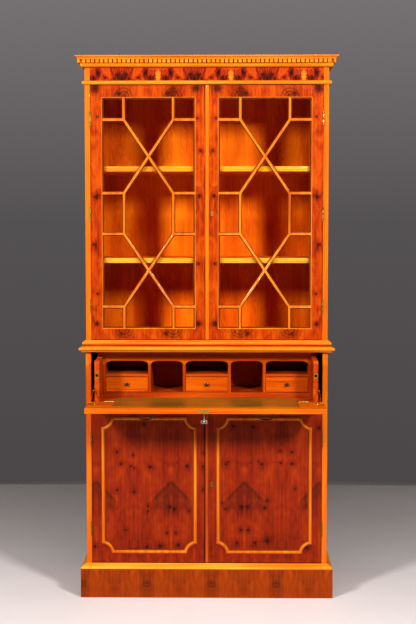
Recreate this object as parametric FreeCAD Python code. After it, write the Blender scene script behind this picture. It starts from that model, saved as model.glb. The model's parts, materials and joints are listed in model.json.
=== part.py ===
import FreeCAD, Part
import math
import os

# A secretaire bookcase in two cabinets. The lower one holds two cupboard doors under a wide drawer whose
# front drops to make a leather-lined writing surface. The upper one is a bookcase with two glazed doors.
#
# While the pieces are drawn, X = 0 is the middle, Y = 0 is the lower cabinet's front and grows towards the
# back, and Z = 0 is the floor. keep() then moves each piece so that Y = 0 is the middle of the footprint.
# The drawer is drawn pulled out with its front lying open, which is the rest pose.

Vector = FreeCAD.Vector

# ---- Driving dimensions, millimetres ----------------------------------------------------------------------

case_width = 885.0
case_depth = 400.0
side_board = 18.0           # thickness of the cabinets' side boards
back_board = 8.0
stile_width = 19.0          # light upright edging at the front corners
stile_depth = 20.0

plinth_height = 107.0
plinth_overhang = 21.0
plinth_moulding_top = 124.5

door_gap = 1.2              # between a door's outer edge and its stile
lower_door_z = (127.0, 680.0)
lower_door_thickness = 19.0
rail_z = (682.0, 714.0)     # rail between the cupboard doors and the drawer
drawer_board_top = 716.5
lower_top_z = (909.0, 928.0)
shelf_gap = 0.4             # between a shelf's end and the side board
cupboard_shelf_z = (400.0, 418.0)

writing_z = 736.0           # writing surface
fall_thickness = 19.0
fall_reach = 170.0          # from the fall's hinge line to its front edge
fall_half_width = 421.0
drawer_pull = 100.0         # how far the secretaire drawer is out at rest
lip = 9.0                   # thickness of the bed's upper lip over the fall's rebate
rebate = 18.7               # how far the fall's tongue reaches under that lip
drawer_length = 356.0       # from the hinge line to the back of the drawer
cheek_outer = 402.5
cheek_inner = 385.0
nook_front = 130.0          # pigeonhole front, behind the hinge line
nook_base_top = 754.0
nook_top_z = (894.0, 902.0)
divider_half = 5.5
divider_x = (83.5, 212.0)   # centres of the dividers, each side of the middle
end_post_x = (374.0, 385.0)
small_shelf_z = (811.0, 822.0)
arch_spring_z = 857.0
arch_top_z = 870.0
small_drawer_z = (755.5, 809.5)
small_drawer_depth = 190.0

upper_front = 17.5          # upper cabinet's front, behind the lower one's
upper_door_z = (952.0, 1876.0)
upper_door_thickness = 20.0
upper_case_top = 1940.0
frieze_bottom = 1878.0
cornice_top = 1980.0
bookcase_shelf_z = ((1232.0, 1250.0), (1566.0, 1585.0))
glazing_x = (40.6, 383.0)   # opening in a door's frame, outside the light bead
glazing_z = (991.0, 1834.0)
glazing_bead = 8.0
astragal_width = 14.0
lattice_half = 90.0         # lattice uprights, each side of a door's middle
lattice_z = (74.0, 340.0)   # lattice joints, above and below the opening's middle

barrel_radius = 2.6
pin_radius = 1.3
bore_play = 0.05            # radial clearance of a pin in its bore
hinge_length = 50.0
leaf_thickness = 1.4
upper_hinge_z = (1756.0, 1411.0, 1075.0)
lower_hinge_z = (586.0, 254.0)

# ---- Values worked out from them ---------------------------------------------------------------------------

half_width = case_width / 2
inner_half = half_width - stile_width
board_half = half_width - side_board
hinge_y = fall_thickness - drawer_pull       # the fall's hinge line at rest
fall_front = hinge_y - fall_reach
drawer_back_y = hinge_y + drawer_length
back_y = case_depth - back_board
door_edge = inner_half - door_gap
door_axis_x = inner_half - door_gap / 2
knuckle_proud = 2.2                          # hinge pins stand this far in front of a door's face
left_door_x = (-door_edge, -8.2)
right_door_x = (-6.4, door_edge)
row_y = -(case_depth + fall_front) / 2


# ---- Drawing helpers ---------------------------------------------------------------------------------------

def keep(name, *solids):
    """Write the solids of one piece as one STEP file, in the row's own frame."""
    moved = []
    for solid in solids:
        copy = solid.copy()
        copy.translate(Vector(0, row_y, 0))
        moved.append(copy)
    shape = moved[0] if len(moved) == 1 else Part.makeCompound(moved)
    shape.exportStep("parts/" + name + ".step")


def block(x, y, z):
    """A rectangular board between three pairs of limits."""
    return Part.makeBox(x[1] - x[0], y[1] - y[0], z[1] - z[0], Vector(x[0], y[0], z[0]))


def rod(start, direction, length, radius):
    return Part.makeCylinder(radius, length, Vector(*start), Vector(*direction))


def mirrored(shape):
    return shape.mirror(Vector(0, 0, 0), Vector(1, 0, 0))


def pair(shape):
    """A piece and its mirror image on the other side of the middle."""
    return [shape, mirrored(shape)]


def outline(path, place):
    """A face inside a closed path. A step is a point, or (through, end) for an arc; place makes it 3-D."""
    edges = []
    here = path[0]
    for step in list(path[1:]) + [path[0]]:
        if isinstance(step[0], tuple):
            through, end = step
            edges.append(Part.Arc(place(here), place(through), place(end)).toShape())
        else:
            end = step
            if end != here:
                edges.append(Part.LineSegment(place(here), place(end)).toShape())
        here = end
    return Part.Face(Part.Wire(edges))


def plate_facing_front(path, y):
    """Extrude an X-Z outline from y[0] to y[1]."""
    face = outline(path, lambda p: Vector(p[0], y[0], p[1]))
    return face.extrude(Vector(0, y[1] - y[0], 0))


def plate_facing_side(path, x):
    """Extrude a Y-Z outline from x[0] to x[1]."""
    face = outline(path, lambda p: Vector(x[0], p[0], p[1]))
    return face.extrude(Vector(x[1] - x[0], 0, 0))


def cut(shape, *tools):
    for tool in tools:
        shape = shape.cut(tool)
    return shape


def fused(shapes):
    return shapes[0].multiFuse(list(shapes[1:])).removeSplitter()


def moulding(profile, front, back=case_depth):
    """A moulding round the front and both sides, in three mitred lengths.

    The profile's points are (overhang, height). The mitres run outwards at 45 degrees from the corners.
    """
    reach = 60.0
    low = min(p[1] for p in profile) - 1.0
    high = max(p[1] for p in profile) + 1.0

    def wedge(corners):
        face = Part.Face(Part.makePolygon([Vector(x, y, low) for x, y in corners + corners[:1]]))
        return face.extrude(Vector(0, 0, high - low))

    front_face = Part.Face(Part.makePolygon(
        [Vector(-half_width - reach, front - d, z) for d, z in profile + profile[:1]]))
    run = front_face.extrude(Vector(2 * (half_width + reach), 0, 0))
    mitre = [(-half_width - reach, front - reach), (half_width + reach, front - reach),
             (half_width, front), (-half_width, front)]
    front_length = run.common(wedge(mitre))

    side_face = Part.Face(Part.makePolygon(
        [Vector(half_width + d, front - reach, z) for d, z in profile + profile[:1]]))
    run = side_face.extrude(Vector(0, back - front + reach, 0))
    mitre = [(half_width, front), (half_width + reach, front - reach),
             (half_width + reach, back), (half_width, back)]
    side_length = run.common(wedge(mitre))
    return [front_length] + pair(side_length)


# ---- Hinges ------------------------------------------------------------------------------------------------

def hinge_leaf(plate, start, direction, length, own, count=5, radius=barrel_radius):
    """A hinge plate with its own knuckles on it and room for the other leaf's knuckles."""
    pitch = length / count
    step = Vector(*direction)
    base = Vector(*start)
    leaf = plate
    for index in range(count):
        if index not in own:
            leaf = leaf.cut(Part.makeCylinder(radius + 0.35, pitch, base + step * (pitch * index), step))
    for index in own:
        foot = base + step * (pitch * index + 0.1)
        leaf = leaf.fuse(Part.makeCylinder(radius, pitch - 0.2, foot, step))
    bore = Part.makeCylinder(pin_radius + bore_play, length + 2, base - step, step)
    return leaf.cut(bore)


def hinge_pin(start, direction, length, radius=barrel_radius):
    """A pin with a small turned tip at each end."""
    step = Vector(*direction)
    foot = Vector(*start) - step * 1.6
    tip = Part.makeCylinder(radius * 0.8, 1.5, foot, step)
    far_tip = Part.makeCylinder(radius * 0.8, 1.5, foot + step * (length + 1.7), step)
    return fused([tip, far_tip, Part.makeCylinder(pin_radius, length + 3.2, foot, step)])


def door_hinge(side, front, centre_z):
    """A butt hinge at a door's outer edge. Returns the case leaf, the door leaf, the pin and the relief."""
    axis_y = front - knuckle_proud
    low = centre_z - hinge_length / 2
    start = (door_axis_x, axis_y, low)
    z = (low, low + hinge_length)
    y = (axis_y, front + 17.0)
    case_plate = block((door_axis_x + 0.1, door_axis_x + 0.1 + leaf_thickness), y, z)
    door_plate = block((door_axis_x - 0.1 - leaf_thickness, door_axis_x - 0.1), y, z)
    up = (0, 0, 1)
    relief = rod((door_axis_x, axis_y, low - 2.2), up, hinge_length + 4.4, barrel_radius + 0.4)
    pieces = {
        "case_leaf": hinge_leaf(case_plate, start, up, hinge_length, (0, 2, 4)),
        "door_leaf": hinge_leaf(door_plate, start, up, hinge_length, (1, 3)),
        "pin": hinge_pin(start, up, hinge_length),
        "case_recess": case_plate.fuse(relief),
        "door_recess": door_plate.fuse(relief),
    }
    if side < 0:
        pieces = {name: mirrored(shape) for name, shape in pieces.items()}
    return pieces


upper_hinges = {side: [door_hinge(side, upper_front, z) for z in upper_hinge_z] for side in (-1, 1)}
lower_hinges = {side: [door_hinge(side, 0.0, z) for z in lower_hinge_z] for side in (-1, 1)}


def hinge_parts(hinges, name):
    return [hinge[name] for hinge in hinges]


# ---- Lower cabinet -----------------------------------------------------------------------------------------

def make_plinth():
    profile = [(0, 0), (plinth_overhang, 0), (plinth_overhang, plinth_height), (0, plinth_height)]
    rear = block((-board_half, board_half), (case_depth - side_board, case_depth), (0, plinth_height))
    keep("plinth_frame", *moulding(profile, 0.0), rear)
    slope = [(0, plinth_height), (plinth_overhang, plinth_height), (plinth_overhang, plinth_height + 3),
             (plinth_overhang - 5, plinth_height + 7), (4, plinth_moulding_top - 1),
             (3, plinth_moulding_top), (0, plinth_moulding_top)]
    keep("plinth_moulding", *moulding(slope, 0.0))


def make_lower_case():
    side = block((board_half, half_width), (stile_depth, case_depth), (0, lower_top_z[0]))
    keep("lower_side_panels", *pair(side))

    stile = block((inner_half, half_width), (0, stile_depth), (0, lower_top_z[0]))
    right_stile = cut(stile, *hinge_parts(lower_hinges[1], "case_recess"))
    span = (-inner_half, inner_half)
    rail = block(span, (0, stile_depth), rail_z)
    foot_rail = block(span, (0, stile_depth), (plinth_height, plinth_moulding_top))
    keep("lower_face_frame", *pair(right_stile), rail, foot_rail)

    inside = (-board_half, board_half)
    bottom = block(inside, (stile_depth, back_y), (plinth_height, plinth_moulding_top))
    top = block((-half_width, half_width), (0, case_depth), lower_top_z)
    bolt_mortice = block(bolt_x(1.5), (4.0, 15.0), (lower_top_z[0] - 1, lower_top_z[0] + 10))
    keep("lower_end_boards", bottom, top.cut(bolt_mortice))

    board = block(inside, (stile_depth, back_y), (drawer_board_top - side_board, drawer_board_top))
    guide = block((cheek_outer + 2, board_half), (45, back_y), (drawer_board_top, drawer_board_top + 15))
    keep("drawer_board", board, *pair(guide))
    keep("lower_back_panel", block(inside, (back_y, case_depth), (plinth_height, lower_top_z[0])))
    shelf_half = board_half - shelf_gap
    keep("cupboard_shelf", block((-shelf_half, shelf_half), (60, back_y), cupboard_shelf_z))

    low, high = lower_top_z
    nose = [(0, low), (15, low), (17, low + 3), (22, low + 6), (24, low + 10), (23, low + 14),
            (19, low + 17), (14, high), (0, high)]
    keep("lower_waist_moulding", *moulding(nose, 0.0))


def bolt_x(play=0.0):
    """The fall lock's bolt, from side to side."""
    return (lock_x - 9 - play, lock_x + 9 + play)


# ---- Lower doors -------------------------------------------------------------------------------------------

def concave_frame(x, z, inset, bite, y):
    """A plate whose four corners are quarter-round bites, centred on the frame's outer corners."""
    x0, x1 = x
    z0, z1 = z
    radius = bite + inset
    along = math.sqrt(radius ** 2 - inset ** 2)
    mid = radius * math.sqrt(0.5)
    path = [(x0 + along, z0 + inset), (x1 - along, z0 + inset),
            ((x1 - mid, z0 + mid), (x1 - inset, z0 + along)), (x1 - inset, z1 - along),
            ((x1 - mid, z1 - mid), (x1 - along, z1 - inset)), (x0 + along, z1 - inset),
            ((x0 + mid, z1 - mid), (x0 + inset, z1 - along)), (x0 + inset, z0 + along),
            ((x0 + mid, z0 + mid), (x0 + along, z0 + inset))]
    return plate_facing_front(path, y)


def keyhole(x, z, y):
    """The hole for a key: a round eye over a narrow slot."""
    eye = rod((x, y[0], z + 2), (0, 1, 0), y[1] - y[0], 2.2)
    slot = block((x - 1.1, x + 1.1), y, (z - 6, z + 2))
    return eye.fuse(slot)


def lock_set(x, z, front, thickness):
    """An oval escutcheon on the face and a lock case screwed to the back of the door."""
    through = keyhole(x, z, (front - 2, front + thickness + 11))
    path = [(x - 5, z - 5), ((x, z - 10), (x + 5, z - 5)), (x + 5, z + 5), ((x, z + 10), (x - 5, z + 5))]
    escutcheon = plate_facing_front(path, (front - 0.8, front))
    case = block((x - 22, x + 18), (front + thickness, front + thickness + 9), (z - 26, z + 26))
    return [escutcheon.cut(through), case.cut(through)], through


def make_lower_doors():
    y = (0.0, lower_door_thickness)
    key_x = 19.5
    key_z = 420.0
    lock, key_slot = lock_set(key_x, key_z, 0.0, lower_door_thickness)
    left = block(left_door_x, y, lower_door_z)
    right = block(right_door_x, y, lower_door_z)
    left = cut(left, *hinge_parts(lower_hinges[-1], "door_recess"))
    right = cut(right, key_slot, *hinge_parts(lower_hinges[1], "door_recess"))
    keep("lower_left_door_panel", left)
    keep("lower_right_door_panel", right)

    frame_x = (36.0, 387.0)
    frame_z = (161.0, 668.0)
    raised = (-4.5, 0.0)
    outer = concave_frame(frame_x, frame_z, 0.0, 36.0, raised)
    inner = concave_frame(frame_x, frame_z, 15.0, 36.0, (raised[0] - 1, raised[1] + 1))
    frame = outer.cut(inner)
    closing_bead = block((-4.5, 8.0), (-3.0, 0.0), lower_door_z)
    keep("lower_left_door_moulding", mirrored(frame))
    keep("lower_right_door_moulding", frame, closing_bead)
    keep("lower_left_door_hinge_leaves", *hinge_parts(lower_hinges[-1], "door_leaf"))
    keep("lower_right_door_fittings", *hinge_parts(lower_hinges[1], "door_leaf"), *lock)


# ---- Upper cabinet -----------------------------------------------------------------------------------------

def make_upper_case():
    bottom = lower_top_z[1]
    front = upper_front
    stile_back = front + stile_depth
    side = block((board_half, half_width), (stile_back, case_depth), (bottom, upper_case_top))
    keep("upper_side_panels", *pair(side))

    stile = block((inner_half, half_width), (front, stile_back), (bottom, upper_case_top))
    stile = cut(stile, *hinge_parts(upper_hinges[1], "case_recess"))
    foot_rail = block((-inner_half, inner_half), (front, stile_back), (bottom, upper_door_z[0] - 2))
    keep("upper_face_frame", *pair(stile), foot_rail)

    inside = (-board_half, board_half)
    floor_board = block(inside, (stile_back, back_y), (bottom, upper_door_z[0] - 2))
    top_board = block((-half_width, half_width), (front, case_depth), (upper_case_top, upper_case_top + 15))
    keep("upper_end_boards", floor_board, top_board)
    keep("upper_back_panel", block(inside, (back_y, case_depth), (bottom, upper_case_top)))

    shelf_half = board_half - shelf_gap
    shelves = [block((-shelf_half, shelf_half), (42, back_y), z) for z in bookcase_shelf_z]
    keep("bookcase_shelves", *shelves)

    foot = [(0, bottom), (10, bottom), (10, bottom + 4), (12.5, bottom + 6), (13.5, bottom + 11),
            (12.5, bottom + 16), (9, bottom + 20), (4, bottom + 21.5), (0, bottom + 21.5)]
    keep("upper_waist_moulding", *moulding(foot, front))
    frieze = block((-inner_half, inner_half), (front, stile_back), (frieze_bottom, upper_case_top))
    keep("frieze_board", frieze)


def make_cornice():
    front = upper_front
    low = frieze_bottom
    half_round = [(0, low), (5, low), (8, low + 3), (9, low + 7), (8, low + 11), (5, low + 14), (0, low + 14)]
    mouldings = moulding(half_round, front)

    low = upper_case_top
    dentil_z = (low + 14, low + 27)
    bead = [(0, low), (8, low), (12, low + 3), (14, low + 8), (14, low + 14), (0, low + 14)]
    crown = [(0, dentil_z[1]), (24, dentil_z[1]), (26, low + 30), (30, low + 34), (32, low + 37),
             (32, cornice_top), (0, cornice_top)]
    mouldings += moulding(bead, front) + moulding(crown, front)
    keep("cornice_mouldings", *mouldings)

    pitch = 16.1
    tooth = 11.6
    backing_out = 15.0
    tooth_out = 23.0
    backing = [(0, dentil_z[0]), (backing_out, dentil_z[0]), (backing_out, dentil_z[1]), (0, dentil_z[1])]
    front_strip, right_strip, left_strip = moulding(backing, front)
    across = math.floor((case_width + 2 * backing_out) / pitch)
    first = -(across - 1) / 2 * pitch
    teeth = []
    for index in range(across):
        x = first + index * pitch
        teeth.append(block((x - tooth / 2, x + tooth / 2), (front - tooth_out, front - backing_out), dentil_z))
    side_teeth = []
    deep = math.floor((case_depth - front + tooth_out) / pitch)
    for index in range(deep):
        y = front - tooth_out + index * pitch
        side_teeth.append(block((half_width + backing_out, half_width + tooth_out), (y, y + tooth), dentil_z))
    right_comb = fused([right_strip] + side_teeth)
    keep("dentil_course", fused([front_strip] + teeth), *pair(right_comb))


# ---- Upper doors -------------------------------------------------------------------------------------------

def door_frame(x):
    """Two stiles, two rails and four glazing beads behind the glass, for the door on the right."""
    y = (upper_front, upper_front + upper_door_thickness)
    z = upper_door_z
    rebate_depth = (upper_front + 10.0, y[1])
    rebate_box = block((glazing_x[0] - 8, glazing_x[1] + 8), rebate_depth, (glazing_z[0] - 8, glazing_z[1] + 8))
    members = [
        block((x[0], glazing_x[0]), y, z),
        block((glazing_x[1], x[1]), y, z),
        block(glazing_x, y, (z[0], glazing_z[0])),
        block(glazing_x, y, (glazing_z[1], z[1])),
    ]
    members = [member.cut(rebate_box) for member in members]
    bead_y = (upper_front + 13.0, y[1] - 1.0)
    gx = (glazing_x[0] - 8, glazing_x[1] + 8)
    gz = (glazing_z[0] - 8, glazing_z[1] + 8)
    wide = 8.0
    beads = [
        block((gx[0], gx[0] + wide), bead_y, gz),
        block((gx[1] - wide, gx[1]), bead_y, gz),
        block((gx[0] + wide, gx[1] - wide), bead_y, (gz[0], gz[0] + wide)),
        block((gx[0] + wide, gx[1] - wide), bead_y, (gz[1] - wide, gz[1])),
    ]
    return members, beads


def lattice():
    """The thirteen-pane lattice: the middle lines of its bars, as pairs of (x, z) points."""
    middle_x = sum(glazing_x) / 2
    middle_z = sum(glazing_z) / 2
    half_open = (glazing_x[1] - glazing_x[0]) / 2
    tall_open = (glazing_z[1] - glazing_z[0]) / 2
    near, far = lattice_z
    runs = []
    for side in (-1, 1):
        post = side * lattice_half
        runs.append(((post, -near), (post, near)))
        for level in (-1, 1):
            runs.append(((post, level * far), (post, level * tall_open)))
            runs.append(((post, level * far), (side * half_open, level * far)))
            runs.append(((post, level * near), (side * half_open, level * near)))
            runs.append(((post, level * near), (-post, level * far)))
    return [tuple((middle_x + x, middle_z + z) for x, z in run) for run in runs]


def astragal_bar(start, end):
    """A bar with bevelled shoulders, laid along one line of the lattice in front of the glass."""
    half = astragal_width / 2
    back = upper_front + 10.0
    section = [(-half, 0), (half, 0), (half, 3), (3, 7.5), (-3, 7.5), (-half, 3)]
    run = Vector(end[0] - start[0], 0, end[1] - start[1])
    along = Vector(run).normalize()
    across = Vector(along.z, 0, -along.x)
    base = Vector(start[0], back, start[1]) - along * 4
    points = [base + across * u - Vector(0, v, 0) for u, v in section]
    face = Part.Face(Part.makePolygon(points + points[:1]))
    return face.extrude(run + along * 8)


def astragals():
    y = (upper_front + 1.5, upper_front + 10.0)
    outer = block(glazing_x, y, glazing_z)
    b = glazing_bead
    hole = block((glazing_x[0] + b, glazing_x[1] - b), (y[0] - 1, y[1] + 1), (glazing_z[0] + b, glazing_z[1] - b))
    inside = block(glazing_x, (y[0] - 1, y[1] + 1), glazing_z)
    bars = [astragal_bar(*run).common(inside) for run in lattice()]
    return fused([outer.cut(hole)] + bars)


def make_upper_doors():
    key_x = 19.7
    key_z = 1413.0
    lock, key_slot = lock_set(key_x, key_z, upper_front, upper_door_thickness)
    right_members, right_beads = door_frame(right_door_x)
    left_members, left_beads = door_frame((-left_door_x[1], -left_door_x[0]))
    right_members[0] = right_members[0].cut(key_slot)
    right_members[1] = cut(right_members[1], *hinge_parts(upper_hinges[1], "door_recess"))
    left_members[1] = cut(left_members[1], *hinge_parts(upper_hinges[1], "door_recess"))
    keep("upper_right_door_frame", *right_members, *right_beads)
    keep("upper_left_door_frame", *[mirrored(piece) for piece in left_members + left_beads])

    glass_y = (upper_front + 10.0, upper_front + 13.0)
    glass = block((glazing_x[0] - 7, glazing_x[1] + 7), glass_y, (glazing_z[0] - 7, glazing_z[1] + 7))
    keep("upper_right_door_glass", glass)
    keep("upper_left_door_glass", mirrored(glass))

    bars = astragals()
    closing_bead = block((-4.5, 8.0), (upper_front - 3.0, upper_front), upper_door_z)
    keep("upper_right_door_astragals", bars, closing_bead)
    keep("upper_left_door_astragals", mirrored(bars))
    keep("upper_left_door_hinge_leaves", *hinge_parts(upper_hinges[-1], "door_leaf"))
    keep("upper_right_door_fittings", *hinge_parts(upper_hinges[1], "door_leaf"), *lock)


def make_case_hinge_leaves():
    solids = []
    for hinges in (upper_hinges, lower_hinges):
        for side in (-1, 1):
            solids += hinge_parts(hinges[side], "case_leaf") + hinge_parts(hinges[side], "pin")
    keep("hinge_case_leaves", *solids)


# ---- Secretaire drawer -------------------------------------------------------------------------------------

flap_x = (333.0, 366.0)      # the fall's hinges, from side to side
flap_leaf = 34.0
flap_barrel = 2.5
leather_half = 330.0
leather_depth = 1.0
catch_from_hinge = 94.0      # catch studs, from the hinge line
catch_x = (cheek_inner + cheek_outer) / 2
stud_hole = 5.5
cheek_pivot = (66.0, 72.0)   # stay's pivot on the cheek: behind the hinge line, above the writing surface
fall_pivot = (-90.0, 9.0)    # stay's pivot over the fall, likewise
lock_x = -5.0
lock_y = fall_front + 31.0   # the key's axis


def flap_hinge():
    """One of the fall's two hinges, lying open: both leaves flush with the writing surface."""
    start = (flap_x[0], hinge_y, writing_z)
    along = (1, 0, 0)
    length = flap_x[1] - flap_x[0]
    z = (writing_z - 2.0, writing_z)
    fixed_plate = block(flap_x, (hinge_y, hinge_y + flap_leaf), z)
    moving_plate = block(flap_x, (hinge_y - flap_leaf, hinge_y), z)
    relief = rod((flap_x[0] - 2.2, hinge_y, writing_z), along, length + 4.4, flap_barrel + 0.5)
    return {
        "fixed": hinge_leaf(fixed_plate, start, along, length, (0, 2, 4), radius=flap_barrel),
        "moving": hinge_leaf(moving_plate, start, along, length, (1, 3), radius=flap_barrel),
        "pin": hinge_pin(start, along, length, flap_barrel),
        "fixed_recess": fixed_plate.fuse(relief),
        "moving_recess": moving_plate.fuse(relief),
    }


def make_drawer_bed(hinge):
    """The bed's upper lip reaches to the hinge line; its lower half stops behind the fall's tongue."""
    bed_back = drawer_back_y
    upper = block((-cheek_outer, cheek_outer), (hinge_y + 0.4, bed_back), (writing_z - lip, writing_z))
    lower = block((-cheek_outer, cheek_outer), (hinge_y + rebate + 0.6, bed_back),
                  (writing_z - fall_thickness, writing_z - lip))
    leather_y = (hinge_y + 4.0, hinge_y + nook_front - 9.0)
    leather = block((-leather_half, leather_half), leather_y, (writing_z - leather_depth, writing_z))
    bed = cut(upper.fuse(lower).removeSplitter(), leather, *pair(hinge["fixed_recess"]))
    keep("drawer_bed", bed)
    keep("bed_leather", leather)


def make_cheeks():
    """Each cheek is low at its front end and rises in an ogee to the top of the pigeonholes."""
    front = hinge_y + 1.5
    rise = hinge_y + nook_front - 34.0
    low_top = 884.0
    high_top = 905.0
    half_rise = (high_top - low_top) / 2
    path = [(front, writing_z), (front, low_top - 12), ((front + 3.5, low_top - 3.5), (front + 12, low_top)),
            (rise, low_top), ((rise + 12, low_top + 3), (rise + 17, low_top + half_rise)),
            ((rise + 22, high_top - 3), (rise + 34, high_top)),
            (drawer_back_y, high_top), (drawer_back_y, writing_z)]
    cheek = plate_facing_side(path, (cheek_inner, cheek_outer))
    catch_z = writing_z + catch_from_hinge
    catch_hole = rod((catch_x, front - 1, catch_z), (0, 1, 0), 16, stud_hole)
    plate_path = [(catch_x - 6.5, catch_z - 6), ((catch_x, catch_z - 12.5), (catch_x + 6.5, catch_z - 6)),
                  (catch_x + 6.5, catch_z + 6), ((catch_x, catch_z + 12.5), (catch_x - 6.5, catch_z + 6))]
    plate = plate_facing_front(plate_path, (front, front + 1.5))
    pivot_y = hinge_y + cheek_pivot[0]
    pivot_z = writing_z + cheek_pivot[1]
    pivot_bore = rod((cheek_outer - 8, pivot_y, pivot_z), (1, 0, 0), 9, 2.05)
    cheek = cut(cheek, plate, catch_hole, pivot_bore)
    keep("drawer_cheeks", *pair(cheek))
    keep("catch_plates", *pair(plate.cut(catch_hole)))
    back = block((-cheek_inner, cheek_inner), (drawer_back_y - 10, drawer_back_y), (writing_z, high_top))
    keep("drawer_back", back)


def bays():
    """The five bays between end posts and dividers, from left to right."""
    inner, outer = divider_x
    edges = [-end_post_x[0], -outer, -inner, inner, outer, end_post_x[0]]
    spans = []
    for index in range(5):
        low = edges[index] + (divider_half if index > 0 else 0)
        high = edges[index + 1] - (divider_half if index < 4 else 0)
        spans.append((low, high))
    return spans


def make_pigeonholes():
    front = hinge_y + nook_front
    valance_back = front + 12.0
    back = drawer_back_y - 10
    base = block((-cheek_inner, cheek_inner), (front - 5, back), (writing_z, nook_base_top))
    top = block((-cheek_inner, cheek_inner), (valance_back, back), nook_top_z)
    shelves = [block(bays()[index], (front + 2, back), small_shelf_z) for index in (0, 2, 4)]
    keep("pigeonhole_boards", base, top, *shelves)

    path = [(front, nook_base_top), (front, arch_spring_z), (valance_back, arch_spring_z),
            (valance_back, nook_top_z[0]), (back, nook_top_z[0]), (back, nook_base_top)]
    uprights = [plate_facing_side(path, end_post_x)]
    for centre in divider_x:
        uprights.append(plate_facing_side(path, (centre - divider_half, centre + divider_half)))
    keep("pigeonhole_partitions", *uprights, *[mirrored(upright) for upright in uprights])

    valance = block((-cheek_inner, cheek_inner), (front, valance_back), (arch_spring_z, nook_top_z[1]))
    rise = arch_top_z - arch_spring_z
    for low, high in bays():
        run = 30.0
        arch = [(low, arch_spring_z - 1), (low, arch_spring_z),
                ((low + 12, arch_spring_z + rise * 0.62), (low + run, arch_top_z)), (high - run, arch_top_z),
                ((high - 12, arch_spring_z + rise * 0.62), (high, arch_spring_z)), (high, arch_spring_z - 1)]
        valance = valance.cut(plate_facing_front(arch, (front - 1, valance_back + 1)))
    keep("arched_valance", valance)


def make_small_drawers():
    front = hinge_y + nook_front + 1.0
    low, high = small_drawer_z
    wall = 7.0
    knob_z = 784.0
    for name, index in (("left", 0), ("centre", 2), ("right", 4)):
        x0 = bays()[index][0] + 0.8
        x1 = bays()[index][1] - 0.8
        rear = front + small_drawer_depth
        face = block((x0, x1), (front, front + 9), (low, high))
        sides = [block(x, (front + 9, rear), (low, high - 4)) for x in ((x0, x0 + wall), (x1 - wall, x1))]
        inner = (x0 + wall, x1 - wall)
        rear_wall = block(inner, (rear - wall, rear), (low, high - 4))
        bottom = block(inner, (front + 9, rear - wall), (low, low + 4))
        middle = (x0 + x1) / 2
        stem_hole = rod((middle, front - 1, knob_z), (0, 1, 0), 11, 2.0)
        keep(name + "_small_drawer", face.cut(stem_hole), *sides, rear_wall, bottom)

        profile = [(0, 0), (4.5, 0), (4.0, -1.5), (2.6, -3), (2.6, -6), (5.5, -8), (7, -10.5), (6, -13), (3, -14.2),
                   (0, -14.5)]
        turned = Part.Face(Part.makePolygon([Vector(middle + r, front + y, knob_z) for r, y in profile + profile[:1]]))
        knob = turned.revolve(Vector(middle, front, knob_z), Vector(0, 1, 0), 360)
        stem = rod((middle, front - 1, knob_z), (0, 1, 0), 9.5, 2.0)
        keep(name + "_knob", knob.fuse(stem))


def make_secretaire_drawer():
    hinge = flap_hinge()
    make_drawer_bed(hinge)
    make_cheeks()
    make_pigeonholes()
    make_small_drawers()
    keep("fall_hinge_fixed_leaves", *pair(hinge["fixed"]), *pair(hinge["pin"]))
    return hinge


# ---- The fall and what it carries ----------------------------------------------------------------------------

bail_x = 213.0               # middle of each handle
bail_y = hinge_y - 89.0
bail_drop = 14.0             # pivot below the fall's underside
post_half = 28.0
ear_x = (408.0, 409.6)


def make_fall(hinge):
    underside = writing_z - fall_thickness
    top = block((-fall_half_width, fall_half_width), (fall_front, hinge_y), (writing_z - lip, writing_z))
    lower = block((-fall_half_width, fall_half_width), (fall_front, hinge_y + rebate),
                  (underside, writing_z - lip - 0.3))
    middle = block((-fall_half_width, fall_half_width), (fall_front, hinge_y),
                   (writing_z - lip - 0.3, writing_z - lip))
    leather_y = (fall_front + 45.0, hinge_y - 4.0)
    leather = block((-leather_half, leather_half), leather_y, (writing_z - leather_depth, writing_z))
    panel = fused([top, middle, lower])
    pocket = lock_body_box()
    plate = lock_plate_box()
    key_bore = rod((lock_x, lock_y, underside - 1), (0, 0, 1), 6, 4.0)
    stud_screws = [rod((x, hinge_y - catch_from_hinge, writing_z - 8), (0, 0, 1), 9, 2.0)
                   for x in (-catch_x, catch_x)]
    post_screws = [rod((x, bail_y, underside - 1), (0, 0, 1), 12, 2.0) for x in post_centres()]
    panel = cut(panel, leather, pocket, plate, key_bore, *stud_screws, *post_screws,
                *pair(hinge["moving_recess"]))
    keep("fall_panel", panel)
    keep("fall_leather", leather)
    keep("fall_hinge_leaves", *pair(hinge["moving"]))


def post_centres():
    return [side * bail_x + end * post_half for side in (-1, 1) for end in (-1, 1)]


def lock_body_box():
    return block((lock_x - 19, lock_x + 19), (fall_front + 1.2, fall_front + 42), (720.0, 731.0))


def lock_plate_box():
    return block((lock_x - 21, lock_x + 21), (fall_front, fall_front + 1.2), (720.5, 730.5))


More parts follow.
